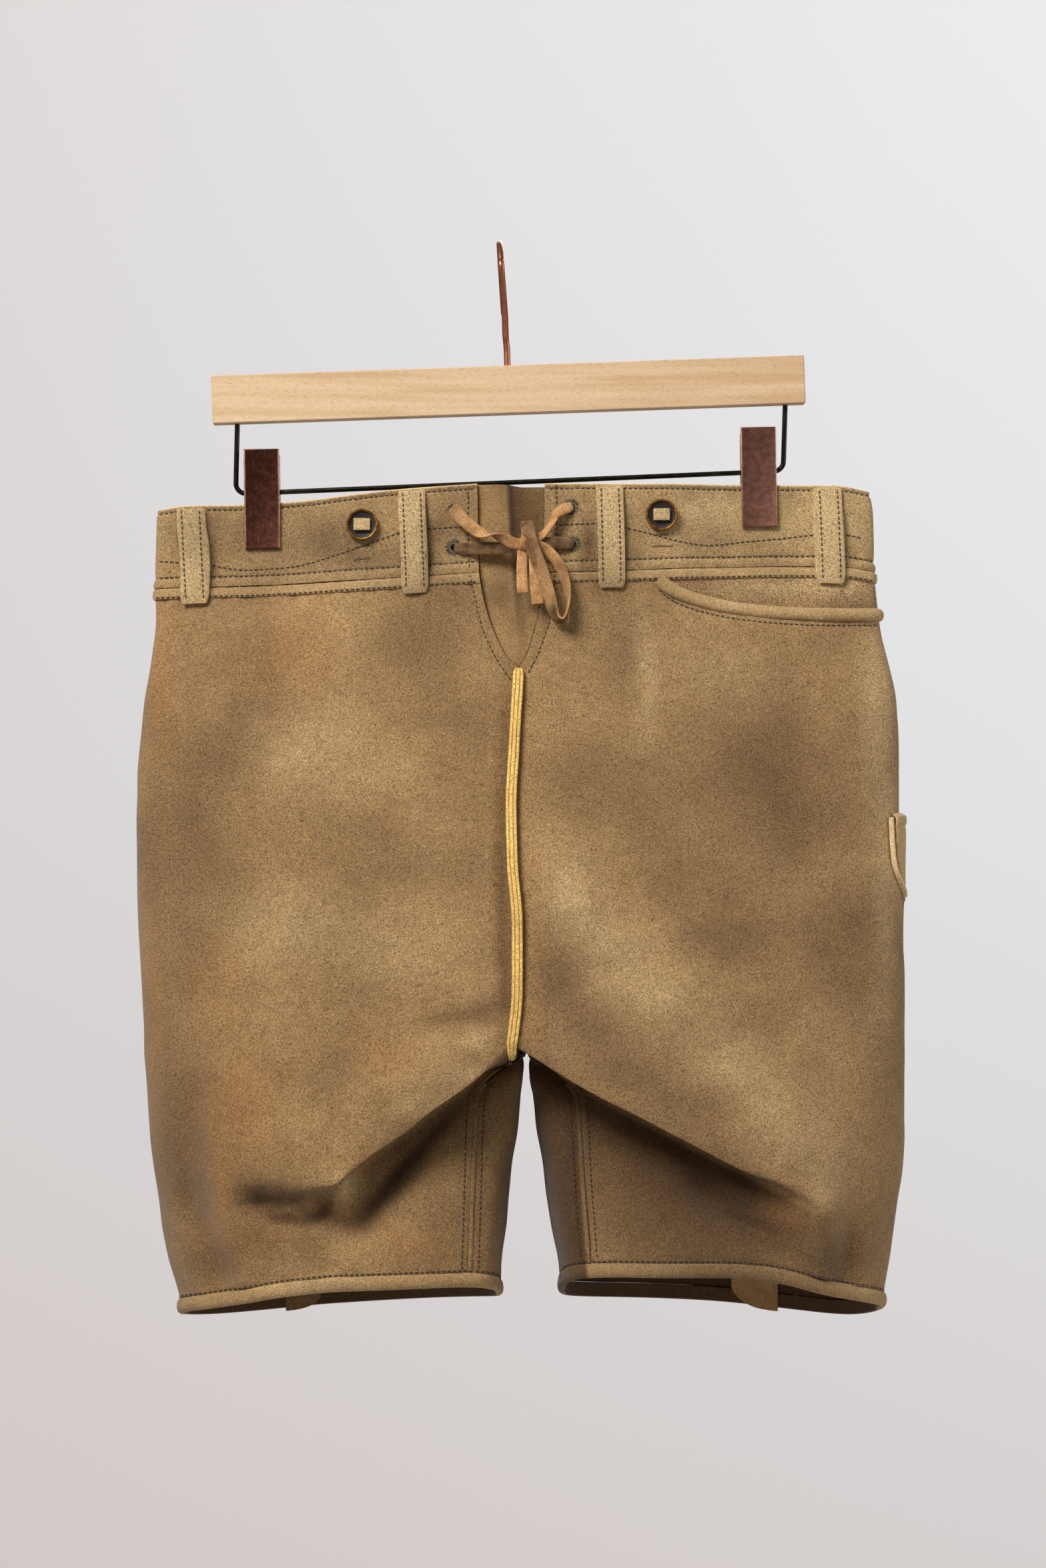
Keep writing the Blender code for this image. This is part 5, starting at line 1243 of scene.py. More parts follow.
# %% Backs
def back_rows(side, shares, seat_count, fork_count, leg_count):
    top_x = along(back_section(side, -0.2), shares)[:, 0]
    top_z = read(BACK_LINE, "bottom", top_x) - GAP
    hem_line = along(back_section(side, HEM_Z), shares)
    end_z = hem_z(side, hem_line[:, 0], hem_line[:, 1])
    rows = []
    for t in np.linspace(0, 1, seat_count):
        x = along(back_section(side, mix(-0.1975, FORK_Z, t)), shares)[:, 0]
        z = mix(top_z, FORK_Z, t)
        rows.append(stacked(x, wall_y("back", side, x, z), z))
    for level in np.linspace(FORK_Z, CROTCH_Z, fork_count)[1:-1]:
        line = along(back_section(side, level), shares)
        rows.append(stacked(line[:, 0], line[:, 1], np.full_like(top_z, level)))
    fade = np.clip(1 - np.asarray(shares) / 0.23, 0, 1)
    inner_fade = np.clip(1 - (1 - np.asarray(shares)) / 0.2, 0, 1)
    for t in np.linspace(0, 1, leg_count):
        level = mix(CROTCH_Z, HEM_Z + BINDING_HEIGHT, t)
        z = mix(CROTCH_Z, end_z, t)
        line = along(back_section(side, level), shares)
        row = stacked(line[:, 0], line[:, 1], z)
        corner = (PANEL_WALL + GAP) * ease(INSEAM_CORNER_ENDS_Z, CROTCH_Z, z[-1])
        seam = inseam_point(side, z[-1]) + np.array([-SIGN[side] * INSEAM_GAP, corner, 0])
        row += (seam - row[-1]) * inner_fade[:, None]
        x = seam_x(side, z[0]) - SIGN[side] * GAP
        outer = np.array([x, wall_y("back", side, x, z[0], True), z[0]])
        row += (outer - row[0]) * fade[:, None]
        rows.append(row)
    return np.array(rows)


back_hem = {}
for side in SIDES:
    grid = back_rows(side, np.linspace(0, 1, 121), 90, 22, 60)
    flip = side == "right"
    relief = (0.0011 * uneven(grid[..., 0] + 0.5, grid[..., 2], 0.05, 21)
              + 0.0005 * uneven(grid[..., 0] + 0.5, grid[..., 2], 0.018, 22))
    ends = [ease(0, 4, np.arange(n)) * ease(0, 4, np.arange(n)[::-1]) for n in grid.shape[:2]]
    relief = relief * ends[0][:, None] * ends[1][None]
    grid = grid + outward_normals(grid, flip) * relief[..., None]
    cloth(f"back_panel_{side}", grid, PANEL_WALL, flip, PANEL_SUEDE, f"back_{side}")
    back_hem[side] = back_rows(side, (0, 0.008, *np.arange(0.05, 0.96, 0.05), 0.99, 1), 3, 3, 10)[-1]

# %% [markdown]
# ## The waistband
#
# A doubled strip of hide stands a hair proud of the panels. Its lower edge is rolled, so it
# bulges there, and each seam pulls a narrow groove into it. Rows are laid closer together
# where a seam runs, because a groove needs a few points of its own.

# %% Waistband
TOP_SEAM, LOW_SEAM, STRIP_SEAM = 0.0031, 0.0062, 0.0052
GROOVE_WIDTH, GROOVE_DEPTH = 0.0008, 0.0006


def band_relief(below_top, above_bottom, x, z):
    """Grooves along both seams, the rolled lower edge, and soft puckers between stitches."""
    groove = (bell(below_top - TOP_SEAM, GROOVE_WIDTH)
              + bell(above_bottom - LOW_SEAM, GROOVE_WIDTH))
    roll = 0.0009 * bell(above_bottom - 0.0026, 0.0022)
    near_seam = bell(above_bottom - LOW_SEAM, 0.005)
    pucker = 0.0004 * near_seam * np.sin(x * math.tau / 0.0105 + 2 * uneven(x, z, 0.02, 4))
    soft = 0.0006 * uneven(x, z, 0.03, 31) + 0.0003 * uneven(x, z, 0.011, 32)
    return soft * ease(0, 0.004, below_top) - GROOVE_DEPTH * groove + roll + pucker


def spaced_rows(height, *seams):
    """Distances down a strip, closer together near its seams and edges."""
    close = [np.linspace(s - 0.0016, s + 0.0016, 9) for s in seams]
    rows = np.sort(np.concatenate([np.linspace(0, height, 30), *close, [0.0007]]))
    rows = rows[(rows >= 0) & (rows <= height)]
    return rows[np.r_[True, np.diff(rows) > 0.0002]]


BAND_HEIGHT = 0.052
for side in SIDES:
    columns = fine_columns(6)
    top, bottom = band_line(side, columns, "top"), band_line(side, columns, "bottom")
    rows = []
    for down in spaced_rows(BAND_HEIGHT, TOP_SEAM, BAND_HEIGHT - LOW_SEAM):
        z = mix(top, bottom, down / BAND_HEIGHT)
        x = trunk_front(side, columns, z)[:, 0]
        out = BAND_STANDS_PROUD + band_relief(down, BAND_HEIGHT - down, x, z)
        rows.append(raised(side, columns, z, out))
    cloth(f"waistband_{side}", rows, BAND_WALL, side == "right", BAND_SUEDE,
          f"waistband_front_{side}", raw="t")


def back_heights(x):
    """Top and bottom of the waistband behind."""
    return read(BACK_LINE, "top", x), read(BACK_LINE, "bottom", x)


def back_line(share, below, out_of):
    """A row across the back, from the band's top (share 0) to its bottom (1)."""
    ends = []
    for side in SIDES:
        z = mix(*back_heights(seam_x(side, BAND_MIDDLE_Z)), share) - below
        ends.append(seam_x(side, z) - SIGN[side] * GAP)
    x = np.linspace(*ends, 220)
    z = mix(*back_heights(x), share) - below
    return back_point(x, z, out_of(x, z))


rows = [back_line(down / BAND_HEIGHT, 0, lambda x, z: BAND_STANDS_PROUD
                  + band_relief(down, BAND_HEIGHT - down, x, z))
        for down in spaced_rows(BAND_HEIGHT, TOP_SEAM, BAND_HEIGHT - LOW_SEAM)]
cloth("waistband_behind", rows, BAND_WALL, True, BAND_SUEDE, "waistband_back", raw="t")

# %% [markdown]
# ### The strip below the band
#
# Under the band's rolled edge shows the edge of its facing, a lighter strip that is sewn
# down along its own lower edge and so slopes in there.

# %% Strips
STRIP_SHARES = np.r_[np.linspace(0, 0.32, 9), np.linspace(0.4, 1, 9)]


def strip_out(t, x, z):
    edge = 0.0005 * (1 - bell(1 - t, 0.18)) - 0.0004
    edge = edge - 0.0013 * bell(t, 0.13)
    return 0.0015 + edge + 0.00015 * np.sin(x * math.tau / 0.0085 + 3 * uneven(x, z, 0.02, 6))


for side in SIDES:
    columns = fine_columns(6)
    top = band_line(side, columns, "bottom") - GAP
    rows = []
    for t in STRIP_SHARES:
        z = top - STRIP_HEIGHT * t
        rows.append(raised(side, columns, z, strip_out(t, front_x(side, columns, z, 0), z)))
    cloth(f"band_facing_edge_{side}", rows, 0.001, side == "right", BINDING_SUEDE, f"waist_strip_{side}")
rows = [back_line(1, GAP + STRIP_HEIGHT * t, lambda x, z: strip_out(t, x, z)) for t in STRIP_SHARES]
cloth("band_facing_edge_behind", rows, 0.001, True, BINDING_SUEDE, "waist_strip_back")

# %% [markdown]
# ### The gusset behind the lacing
#
# A soft tongue closes the opening behind the lace. It is folded down its middle: the left
# half lies forward and catches the light, the right half drops back behind the fold.

# %% Tongue
TONGUE_TOP_Z, TONGUE_HEIGHT = -0.1408, 0.1127


def fold_of_tongue(t):
    """Where the tongue is folded, t of the way down."""
    return mix(0.0045, 0.0118, t ** 1.3)


grid = []
for t in np.linspace(0, 1, 80):
    z = TONGUE_TOP_Z - TONGUE_HEIGHT * t
    margin = mix(0.0075, 0.004, t)
    x = np.linspace(read(CENTRE, "right", z) - margin,
                    read(CENTRE, "left", z) + margin, 141)
    fold_x = fold_of_tongue(t)
    step = mix(0.0036, 0.0016, t) * ease(fold_x - 0.001, fold_x + mix(0.0034, 0.009, t), x)
    back_up = mix(0.0022, 0.0008, t) * ease(fold_x + 0.004, fold_x + 0.016, x)
    soft = 0.0004 * uneven(x, z, 0.02, 41) + 0.0024 * (1 - 0.6 * t) \
        * bell(x - fold_x + 0.0062, 0.006)
    y = wall_y("front", "right", np.minimum(x, MIDDLE_X), z) + 0.0027 + step - back_up - soft
    top_dip = 0.0013 * ease(0, 1, (x - fold_x) / 0.01) * (1 - t) ** 6
    grid.append(stacked(x, y, z - top_dip))
gusset = cloth("lacing_gusset", grid, 0.0014, False, GUSSET_SUEDE, "tongue")
# Shade is painted into the tongue's colour: a thin dark line along both placket edges, the right half
# behind the fold, most near the top, and three soft patches in its folds.
points = vectors_of(gusset.data.vertices, "co")
x, _, z = points.T
near = [bell(np.abs(x - read(CENTRE, side, z)), 0.0007) for side in SIDES]
fold_x = fold_of_tongue(np.clip((TONGUE_TOP_Z - z) / TONGUE_HEIGHT, 0, 1))
behind_fold = ease(-0.001, 0.002, x - fold_x) * (1 - 0.45 * ease(0.003, 0.02, x - fold_x))
shade = np.maximum(0.85 * np.maximum(*near), 0.8 * behind_fold * ease(-0.24, -0.175, z))
in_folds = patches((-0.5, -190, 6.5, 12, 30), (-0.5, -206, 9, 10, 50), (19, -164, 8, 12, 30))
shade = 1 - (1 - shade) * (1 - spots(in_folds, points))
write(gusset.data, "deep", shade)

# %% [markdown]
# ### The centre seam's welt
#
# The centre seam is a proud welt: the raw edges of the two fronts with a strip between them,
# standing 3 mm out. Its three layers show as two fine grooves down its face.

# %% Welt
z = np.linspace(-0.2495, -0.4655, 150)
x = (read(CENTRE, "right", z) + read(CENTRE, "left", z)) / 2 + 0.00035 * uneven(0 * z, z, 0.03, 9)
line = stacked(x, trunk_front("left", np.zeros_like(z), z)[:, 1], z)
line = np.vstack([line, line[-1] + (0, 0.0003, -0.0045), line[-1] + (0, 0.0035, -0.0085)])
fall = np.gradient(line, axis=0)
outward = stacked(np.zeros(len(line)), fall[:, 2], -fall[:, 1])
HALF, LOW, HIGH = 0.0031, -0.0004, 0.0034
WELT_SIDE = [(HALF * x, HIGH * y) for x, y in
             ((1, 0.62), (0.86, 0.84), (0.55, 0.9), (0.38, 0.6), (0.24, 0.95))]
WELT = [(-HALF, LOW), (HALF, LOW), *WELT_SIDE, (0, HIGH), *((-x, y) for x, y in WELT_SIDE[::-1])]
waver = 1 + 0.1 * uneven(np.arange(len(line)) * 0.004, 0, 0.02, 15)
narrow = np.ones(len(line))
narrow[-4:] = (0.97, 0.9, 0.8, 0.5)
narrow[:3] = (0.62, 0.86, 0.97)
swept("centre_seam_welt", line, outward, WELT, [WELT_SUEDE], "cut_edge", ["centre_welt"], 40,
      (narrow, waver * narrow))

# %% [markdown]
# ### Belt loops
#
# Seven loops of lighter hide. Each is sewn down at both ends and stands off the band in
# between. Its lower end is folded under, which rounds its corners, and its raw sides show
# pale yellow.

# %% Loops
LOOP_RUNS = table("share above below out",
    (0, 1.5, 0, 1.1), (0.12, 6, 0, 2.2), (0.5, 0, 0, 3.4), (0.8, 0, -1, 3.4), (0.93, 0, 6.5, 2.7),
    (1, 0, 10.5, 1.7))
LOOP_WALL = 0.0018
LOOP_ACROSS = np.r_[-1, -0.91, np.linspace(-0.82, 0.82, 11), 0.91, 1]
FRONT_LOOPS = (("right", -0.1816, -0.1785), ("right", -0.0516, -0.0492),
               ("left", 0.0647, 0.0659), ("left", 0.1931, 0.1949))
BACK_LOOPS = (-0.1, MIDDLE_X, 0.117)


def loop_rows(point, heights, top_x, bottom_x):
    """Rows down a loop: `point` gives the surface for (x, z, out), `heights` the band there."""
    rows = []
    for t in np.linspace(0, 1, 46):
        above, below, out = (read(LOOP_RUNS, c, t) for c in ("above", "below", "out"))
        corner = 1 - 0.16 * np.clip((t - 0.955) / 0.045, 0, 1) ** 2.5
        across = LOOP_ACROSS * LOOP_WIDTH / 2 * 0.97
        x = mix(top_x, bottom_x, t) + across * corner
        z = mix(*heights(x), t) - above - below
        crown = 0.0004 * (1 - LOOP_ACROSS ** 4) - 0.0007 * np.clip((t - 0.97) / 0.03, 0, 1)
        rows.append(point(x, z, out + LOOP_WALL + crown + 0.001 * math.sin(math.pi * t) ** 0.5 - 0.0004))
    return rows


for number, (side, top_x, bottom_x) in enumerate(FRONT_LOOPS, 1):
    def heights(x):
        at = [column_at(side, v, BAND_MIDDLE_Z) for v in x]
        return band_line(side, at, "top"), band_line(side, at, "bottom")

    def on_front(x, z, out):
        return raised(side, [column_at(side, a, c) for a, c in zip(x, z)], z, out)

    cloth(f"front_loop_{number}", loop_rows(on_front, heights, top_x, bottom_x), LOOP_WALL,
          False, LOOP_SUEDE, f"belt_loop_front_{number}", raw="r", drop=0.0009)

for number, x in enumerate(BACK_LOOPS, 1):
    cloth(f"back_loop_{number}", loop_rows(back_point, back_heights, x, x), LOOP_WALL,
          True, LOOP_SUEDE, f"belt_loop_back_{number}", raw="lr", drop=0.0009)

# %% [markdown]
# ### The curved pocket
#
# The front is cut away in a long curve on the wearer's left, and its edge is bound with fat
# piping: hide rolled round a cord. Above the piping the coarser side of the pocket's facing
# shows.

# %% Pocket facing and piping
side = "left"
first = column_at(side, POCKET["x"][0] + 0.002, -0.195)
columns = np.r_[np.linspace(first, SEAM_COLUMN - 1, 150), SEAM_COLUMN - 0.5, SEAM_COLUMN - 0.1]
behind = -PANEL_WALL - 2 * GAP
top, edge = band_line(side, columns, "bottom") - GAP, panel_top(side, columns)
rows = [raised(side, columns, top, 0),
        raised(side, columns, np.maximum(top - 0.0066, edge + 0.0038), 0),
        raised(side, columns, np.minimum(top - 0.0004, edge + 0.0036), 0),
        raised(side, columns, np.minimum(top - 0.001, edge + 0.0003), behind),
        raised(side, columns, edge - 0.006, behind)]
between = [np.linspace(a, b, n)[:-1] for a, b, n in zip(rows, rows[1:], (10, 4, 5, 5))]
rows = np.concatenate([*between, rows[-1:]])
cloth("pocket_bag_facing", rows, 0.0012, False, FACING_SUEDE, "pocket_facing")

turn = np.linspace(first, SEAM_COLUMN - 0.7, 260)
z = panel_top(side, turn)
line = raised(side, turn, z, 0.0002)
outward = raised(side, turn, z, 0.003) - line
keep = z < band_line(side, turn, "bottom") - STRIP_HEIGHT + 0.001
half = 0.004
angle = np.radians(np.linspace(0, 180, 11))
PIPE = [(half * math.cos(a), 0.0031 * math.sin(a) + 0.0001) for a in angle]
lump = 1 + 0.05 * uneven(line[keep, 0], line[keep, 2], 0.009, 51)
swept("pocket_edge_piping", line[keep], outward[keep], PIPE, [BINDING_SUEDE], "suede",
      ["pocket_piping"], grow=(lump, lump))

# %% [markdown]
# ### The knife pocket
#
# A narrow sheath sewn to the side seam. Only its raw front edge and its rolled flap come round
# the fold, so its table gives the columns where it starts and ends at each height.

# %% Knife pocket
KNIFE = table("z start end out",
    (-334, 15.6, 23, 1.2), (-334.8, 15.6, 23, 3.2), (-336.4, 15.6, 23, 4.3), (-339.6, 15.6, 23, 4.3),
    (-341.4, 15.6, 23, 3.5), (-344, 15.6, 23, 3.7), (-360, 15.7, 23, 3), (-370, 16.1, 22.9, 2.6),
    (-377, 16.9, 22.9, 2.4), (-383, 17.9, 22.8, 2.2), (-420, 18.9, 22.5, 1.8), (-465, 19.2, 22.1, 1.7))
rows = []
for z in np.r_[np.linspace(-0.334, -0.344, 16), np.linspace(-0.346, -0.465, 50)]:
    start, end, out = (read(KNIFE, c, z) for c in ("start", "end", "out"))
    rows.append(raised(side, np.linspace(start, end, 50), z, out))
pocket = cloth("knife_sheath_pocket", rows, 0.0014, False, BINDING_SUEDE, "knife_pocket")
# Painted light: the whole sheath is lightened, and it carries no stain or painted shadow.
write(pocket.data, "pale", 0.9)
write(pocket.data, "stain", 0)
z = np.linspace(-0.3362, -0.3825, 40)
start = read(KNIFE, "start", z) - 0.3
line = raised(side, start, z, 2 * GAP)
up = raised(side, start, z, 0.002) - line
half = 0.0011
shape = ((-half, 0), (half, 0), (half, 0.0022), (half * 0.5, 0.0027), (-half * 0.5, 0.0027),
         (-half, 0.0022))
swept("knife_sheath_raw_edge", line, up, shape, [EDGE_SUEDE], "cut_edge", ["knife_pocket_edge"])

# %% [markdown]
# ### Hems
#
# Each leg opening is bound with a strip of smoother, paler hide, rolled over the edge and
# open for a small vent at the side seam. A rounded facing in the rough yellow side backs the
# vent.

# %% Bindings and vent facings
VENT_WIDTH = 0.0036
# The right facing is given painted shade. The left one gets the paler cut-edge finish and painted light,
# so that it looks lit though it lies in the leg's shade.
VENTS = {"right": (0.021, 0.0095, -0.635, LOOP_SUEDE, 0.5, 0),
         "left": (0.028, 0.0165, -0.6352, EDGE_SUEDE, 0, 1)}
for side in SIDES:
    loop = np.vstack([back_hem[side], front_hem[side]])
    loop = loop[np.r_[True, np.linalg.norm(np.diff(loop, axis=0), axis=1) > 0.002]]
    trim = VENT_WIDTH / measured(loop)
    loop = refined(along(loop, np.linspace(trim, 1 - trim, 34)), 7)
    loop[:, 2] -= GAP
    run = np.gradient(loop, axis=0)
    outward = stacked(run[:, 1], -run[:, 0], np.zeros(len(run)))
    outward *= np.sign(((loop - loop.mean(axis=0)) * outward).sum(1))[:, None]
    turn = 1 if np.cross(run[40], outward[40])[2] > 0 else -1
    wall, h = PANEL_WALL + 0.0008, BINDING_HEIGHT
    ROLL = [(0, -wall), (0.0002, -0.0004), (-h * 0.05, 0.0006), (-h * 0.2, 0.0013),
            (-h * 0.45, 0.0016), (-h * 0.7, 0.0014), (-h * 0.88, 0.0007), (-h * 0.98, -0.0004),
            (-h, -0.0013), (-h * 0.93, -wall)]
    lump = 1 + 0.1 * uneven(np.arange(len(loop)) * 0.0018, 0, 0.012, 61)
    swept(f"hem_roll_{side}", loop, outward, np.array(ROLL) * (turn, 1), [BINDING_SUEDE],
          "suede", [f"hem_binding_{side}"], grow=(1, lump))
    print(f"hem_roll_{side}: {measured(loop) * 1000:.0f} mm round")

    wide, tall, bottom, hide, deep, pale = VENTS[side]
    seam = seam_x(side, -0.61)
    rows = []
    for t in np.sin(np.linspace(0, math.pi / 2, 30)):
        z = mix(-0.59, bottom, t)
        share = math.sqrt(max(1 - np.clip((bottom + tall - z) / tall, 0, 1) ** 2, 0.01))
        across = np.linspace(*((1, 0) if side == "left" else (0, 1)), 24)
        x = seam + SIGN[side] * (0.002 - wide * share * across)
        y = wall_y("back", side, x, z, True) - PANEL_WALL - 0.0018
        y = y - 0.0006 * uneven(x, z, 0.008, 66)
        rows.append(stacked(x, y, z))
    facing = cloth(f"vent_backing_{side}", rows, 0.0012, True, hide, f"vent_facing_{side}")
    for wear, amount in (("deep", deep), ("stain", 0), ("warm", 0.6), ("pale", pale)):
        write(facing.data, wear, amount)

# %% [markdown]
# ## The hanger
#
# The hook and the bottom wire are bent round wire, so each is a curve with a round bevel,
# turned to a mesh.

# %% Wires
def on_bar(x, z):
    """A place on the tilted hanger, from the bar's centre."""
    cos, sin = math.cos(TILT), math.sin(TILT)
    return (BAR_CENTRE[0] + x * cos + z * sin, 0, BAR_CENTRE[2] - x * sin + z * cos)


def bent_wire(name, points, radius, finish, node):
    """Round wire through its points, as a mesh with its ends closed."""
    obj = added(bpy.ops.curve.primitive_nurbs_path_add)
    obj.name = name
    curve = obj.data
    curve.splines.clear()
    spline = curve.splines.new("POLY")
    spline.points.add(len(points) - 1)
    for point, place in zip(spline.points, points):
        point.co = (*place, 1)
    curve.bevel_depth, curve.bevel_resolution, curve.use_fill_caps = radius, 7, True
    bpy.ops.object.convert(target="MESH")
    obj.data.materials.clear()
    obj.data.materials.append(finish)
    bpy.ops.object.shade_smooth_by_angle(angle=math.radians(50))
    print(f"{name}: {measured(np.array(points)) * 1000:.0f} mm of wire")
    return hand_over(obj, [node])


BAR_SIZE, BAR_CENTRE = (0.3494, 0.012, 0.0283), (0.0051, 0, -0.0844)
HOOK_WIRE, HOOK_INNER = 0.0019, 0.0225
WIRE_X = {"right": -0.1556, "left": 0.1675}
WIRE_MIDDLE_Z, WIRE_SLOPE, WIRE_BEND, WIRE_RADIUS = -0.1386, 0.0405, 0.006, 0.0015
WIRE_IN_BAR = (-0.1605, 0.163)

radius = HOOK_INNER + HOOK_WIRE
foot = on_bar(0, BAR_SIZE[2] / 2 + GAP)
points = [foot, (foot[0] * 0.92, 0, -0.06)]
for share in (0.15, 0.4, 0.7):
    points.append((foot[0] * mix(0.8, 0.6, share), -radius * 0.98 * share ** 1.5,
                   mix(-0.056, -0.033, share)))
for degrees in np.linspace(195, 395, 15):
    z = HOOK_WIRE - radius - radius * math.sin(math.radians(degrees))
    points.append((foot[0] * max((HOOK_WIRE - z), 0) / 0.07,
                   radius * math.cos(math.radians(degrees)), z))
bent_wire("hook", refined(points, 6), HOOK_WIRE, HOOK_METAL, "hanger_hook")


def wire_z(x):
    return WIRE_MIDDLE_Z + WIRE_SLOPE * (x - MIDDLE_X)


quarter = np.radians(np.linspace(0, 90, 14))
points = [on_bar(WIRE_IN_BAR[0], -BAR_SIZE[2] / 2 - GAP)]
for side, turns in (("right", quarter), ("left", quarter[::-1])):
    points += [(WIRE_X[side] - SIGN[side] * WIRE_BEND * (1 - math.cos(turn)), 0,
                wire_z(WIRE_X[side]) + WIRE_BEND * (1 - math.sin(turn))) for turn in turns]
points.append(on_bar(WIRE_IN_BAR[1], -BAR_SIZE[2] / 2 - GAP))
bent_wire("bottom_wire", points, WIRE_RADIUS, WIRE_METAL, "hanger_wire")

# %% [markdown]
# ### Spring clips
#
# A clip is two jaws of plate pressed together by a spring, with a sleeve on the wire. A cube
# is cut to a jaw's size, its edges are eased, its face is dished, and its raw sides get the
# rubbed finish. They stay closed on the band.

# %% Clips
CLIP_TOP_Z = {"right": -0.1193, "left": -0.1063}
CLIP_WIDTH, CLIP_WALL, CLIP_HEIGHT = 0.0209, 0.0022, 0.059


def settle(obj, name, finishes, node):
    """Applies an object's place, names it and hands it to the frame."""
    only(obj)
    bpy.ops.object.transform_apply(location=True, rotation=True, scale=True)
    bpy.ops.object.shade_smooth_by_angle(angle=math.radians(35))
    obj.name = name
    for finish in finishes:
        obj.data.materials.append(finish)
    return hand_over(obj, [node] if node else ())


def eased_block(size, place=(0, 0, 0)):
    """A block with its edges eased by half a millimetre."""
    block = added(bpy.ops.mesh.primitive_cube_add, size=1, location=place)
    block.scale = size
    bpy.ops.object.transform_apply(location=False, rotation=False, scale=True)
    with editing(block, "SELECT"):
        bpy.ops.mesh.bevel(offset=0.0005, segments=3, affect="EDGES")
    return block


def clip_plate(name, side, face, node):
    """One jaw: a plate with eased edges, a shallow dished face and bright raw sides."""
    shift = 0 if face < 0 else 0.0016
    height = CLIP_HEIGHT - 3 * shift
    centre_z = CLIP_TOP_Z[side] - 2 * shift - height / 2
    inner = JAW + BAND_STANDS_PROUD + GAP
    obj = eased_block((CLIP_WIDTH, CLIP_WALL, height),
                      (CLIP_X[side], face * (inner + CLIP_WALL / 2), centre_z))
    obj.rotation_euler = (0, 0.4 * TILT, 0)
    with editing(obj, "DESELECT"):
        pass
    for polygon in obj.data.polygons:
        polygon.select = polygon.normal.y * face > 0.99
    with editing(obj):
        bpy.ops.mesh.inset(thickness=0.0004, depth=-0.00012)
    plate = PALER_CLIP_METAL if side == "left" else CLIP_METAL
    settle(obj, name, [plate, RUBBED_METAL], node)
    half = CLIP_WIDTH / 2
    for polygon in obj.data.polygons:
        across = abs(polygon.center.x - CLIP_X[side]) / half
        polygon.material_index = int(across > 0.93 and abs(polygon.center.z - centre_z) < height * 0.485)
    return obj


for side in SIDES:
    for face, word in ((-1, "front"), (1, "back")):
        clip_plate(f"clip_jaw_{side}_{word}", side, face, f"clip_{side}_{word}")
    sleeve = added(bpy.ops.mesh.primitive_cylinder_add, vertices=40, depth=0.012,
                   radius=WIRE_RADIUS + GAP + 0.0006, end_fill_type="NOTHING",
                   location=(CLIP_X[side], 0, wire_z(CLIP_X[side])),
                   rotation=(0, math.pi / 2 - math.atan(WIRE_SLOPE), 0))
    wall = sleeve.modifiers.new("sleeve wall", "SOLIDIFY")
    wall.thickness, wall.offset = 0.0006, -1
    bpy.ops.object.modifier_apply(modifier=wall.name)
    settle(sleeve, f"clip_spring_sleeve_{side}", [WIRE_METAL], f"clip_{side}_sleeve")

# %% [markdown]
# ### The bar
#
# The bar is a plain sanded beech bar, so its CAD shape is already right and only gets its
# wood.

# %% The bar's wood
bar = frame["nodes"]["hanger_bar"]
bar.data.materials.clear()
bar.data.materials.append(BEECH)

# %% [markdown]
# ### Braces buttons
#
# Two buttons in front and two behind carry the braces. Each is a disc of horn pressed into a
# brass ring, turned here ring by ring from a filled circle, and a leather tab through its
# middle ties it to the band.

# %% Buttons
def turned(name, profile, seat, finishes, node):
    """A turned piece: a disc extruded and scaled ring by ring along its (radius, height)."""
    (radius, height), *rest = profile
    obj = added(bpy.ops.mesh.primitive_circle_add, vertices=48, radius=radius, fill_type="NGON",
                location=(0, 0, height))
    bpy.ops.object.transform_apply(location=True, rotation=False, scale=False)
    with editing(obj, "SELECT"):
        for new_radius, new_height in rest:
            bpy.ops.mesh.extrude_region_move(
                TRANSFORM_OT_translate={"value": (0, 0, new_height - height)})
            scale = new_radius / radius
            bpy.ops.transform.resize(value=(scale, scale, 1), center_override=(0, 0, new_height))
            radius, height = new_radius, new_height
        bpy.ops.mesh.select_all(action="SELECT")
        bpy.ops.mesh.normals_make_consistent(inside=False)
    obj.matrix_world = seat
    return settle(obj, name, finishes, node)


BUTTON, TAB_SIZE = 0.0093, (0.0097, 0.007, 0.002)
BUTTON_PROFILE = [(BUTTON * share, height * MM) for share, height in (
    (0.9, 0), (0.97, 0.4), (1, 1.2), (1, 2.7), (0.98, 3.3), (0.93, 3.7), (0.88, 3.6),
    (0.845, 3.1), (0.83, 2.4), (0.7, 2.2), (0.4, 2), (0.05, 2))]
BUTTONS = {"front_right": (-0.0806, -0.1648), "front_left": (0.095, -0.159),
           "back_right": (-0.05, -0.17), "back_left": (0.067, -0.169)}
for place, (x, z) in BUTTONS.items():
    face, side = place.split("_")[0], "right" if x < MIDDLE_X else "left"
    sign = 1 if face == "front" else -1
    base = wall_y(face, side, x, z) - sign * (BAND_STANDS_PROUD + GAP + 0.0004)
    slope = float(wall_y(face, side, x, z + 0.006) - wall_y(face, side, x, z - 0.006))
    lean = math.atan2(slope, 0.012)
    seat = (Matrix.Translation((x, base, z)) @ Matrix.Rotation(sign * math.pi / 2 - lean, 4, "X"))
    button = turned(f"braces_button_{place}", BUTTON_PROFILE, seat, [HORN, BRASS],
                    f"button_{place}")
    for polygon in button.data.polygons:
        near = (polygon.center - Vector((x, base, z))).length
        polygon.material_index = int(near > BUTTON * 0.835)
    tab = eased_block(TAB_SIZE)
    with editing(tab, "SELECT"):
        bpy.ops.mesh.subdivide(number_cuts=2)
    for vertex in tab.data.vertices:
        vertex.co.z += 0.0005 * math.cos(vertex.co.x / TAB_SIZE[0] * math.pi) - 0.00025
    tab.matrix_world = seat @ Matrix.Translation((0, 0, 0.0024 + GAP + 0.001))
    settle(tab, f"button_tie_{place}", [LOOP_SUEDE], f"button_tab_{place}")
    print("button", place, "stands", round(abs(base) * 1000, 1), "mm from the middle")

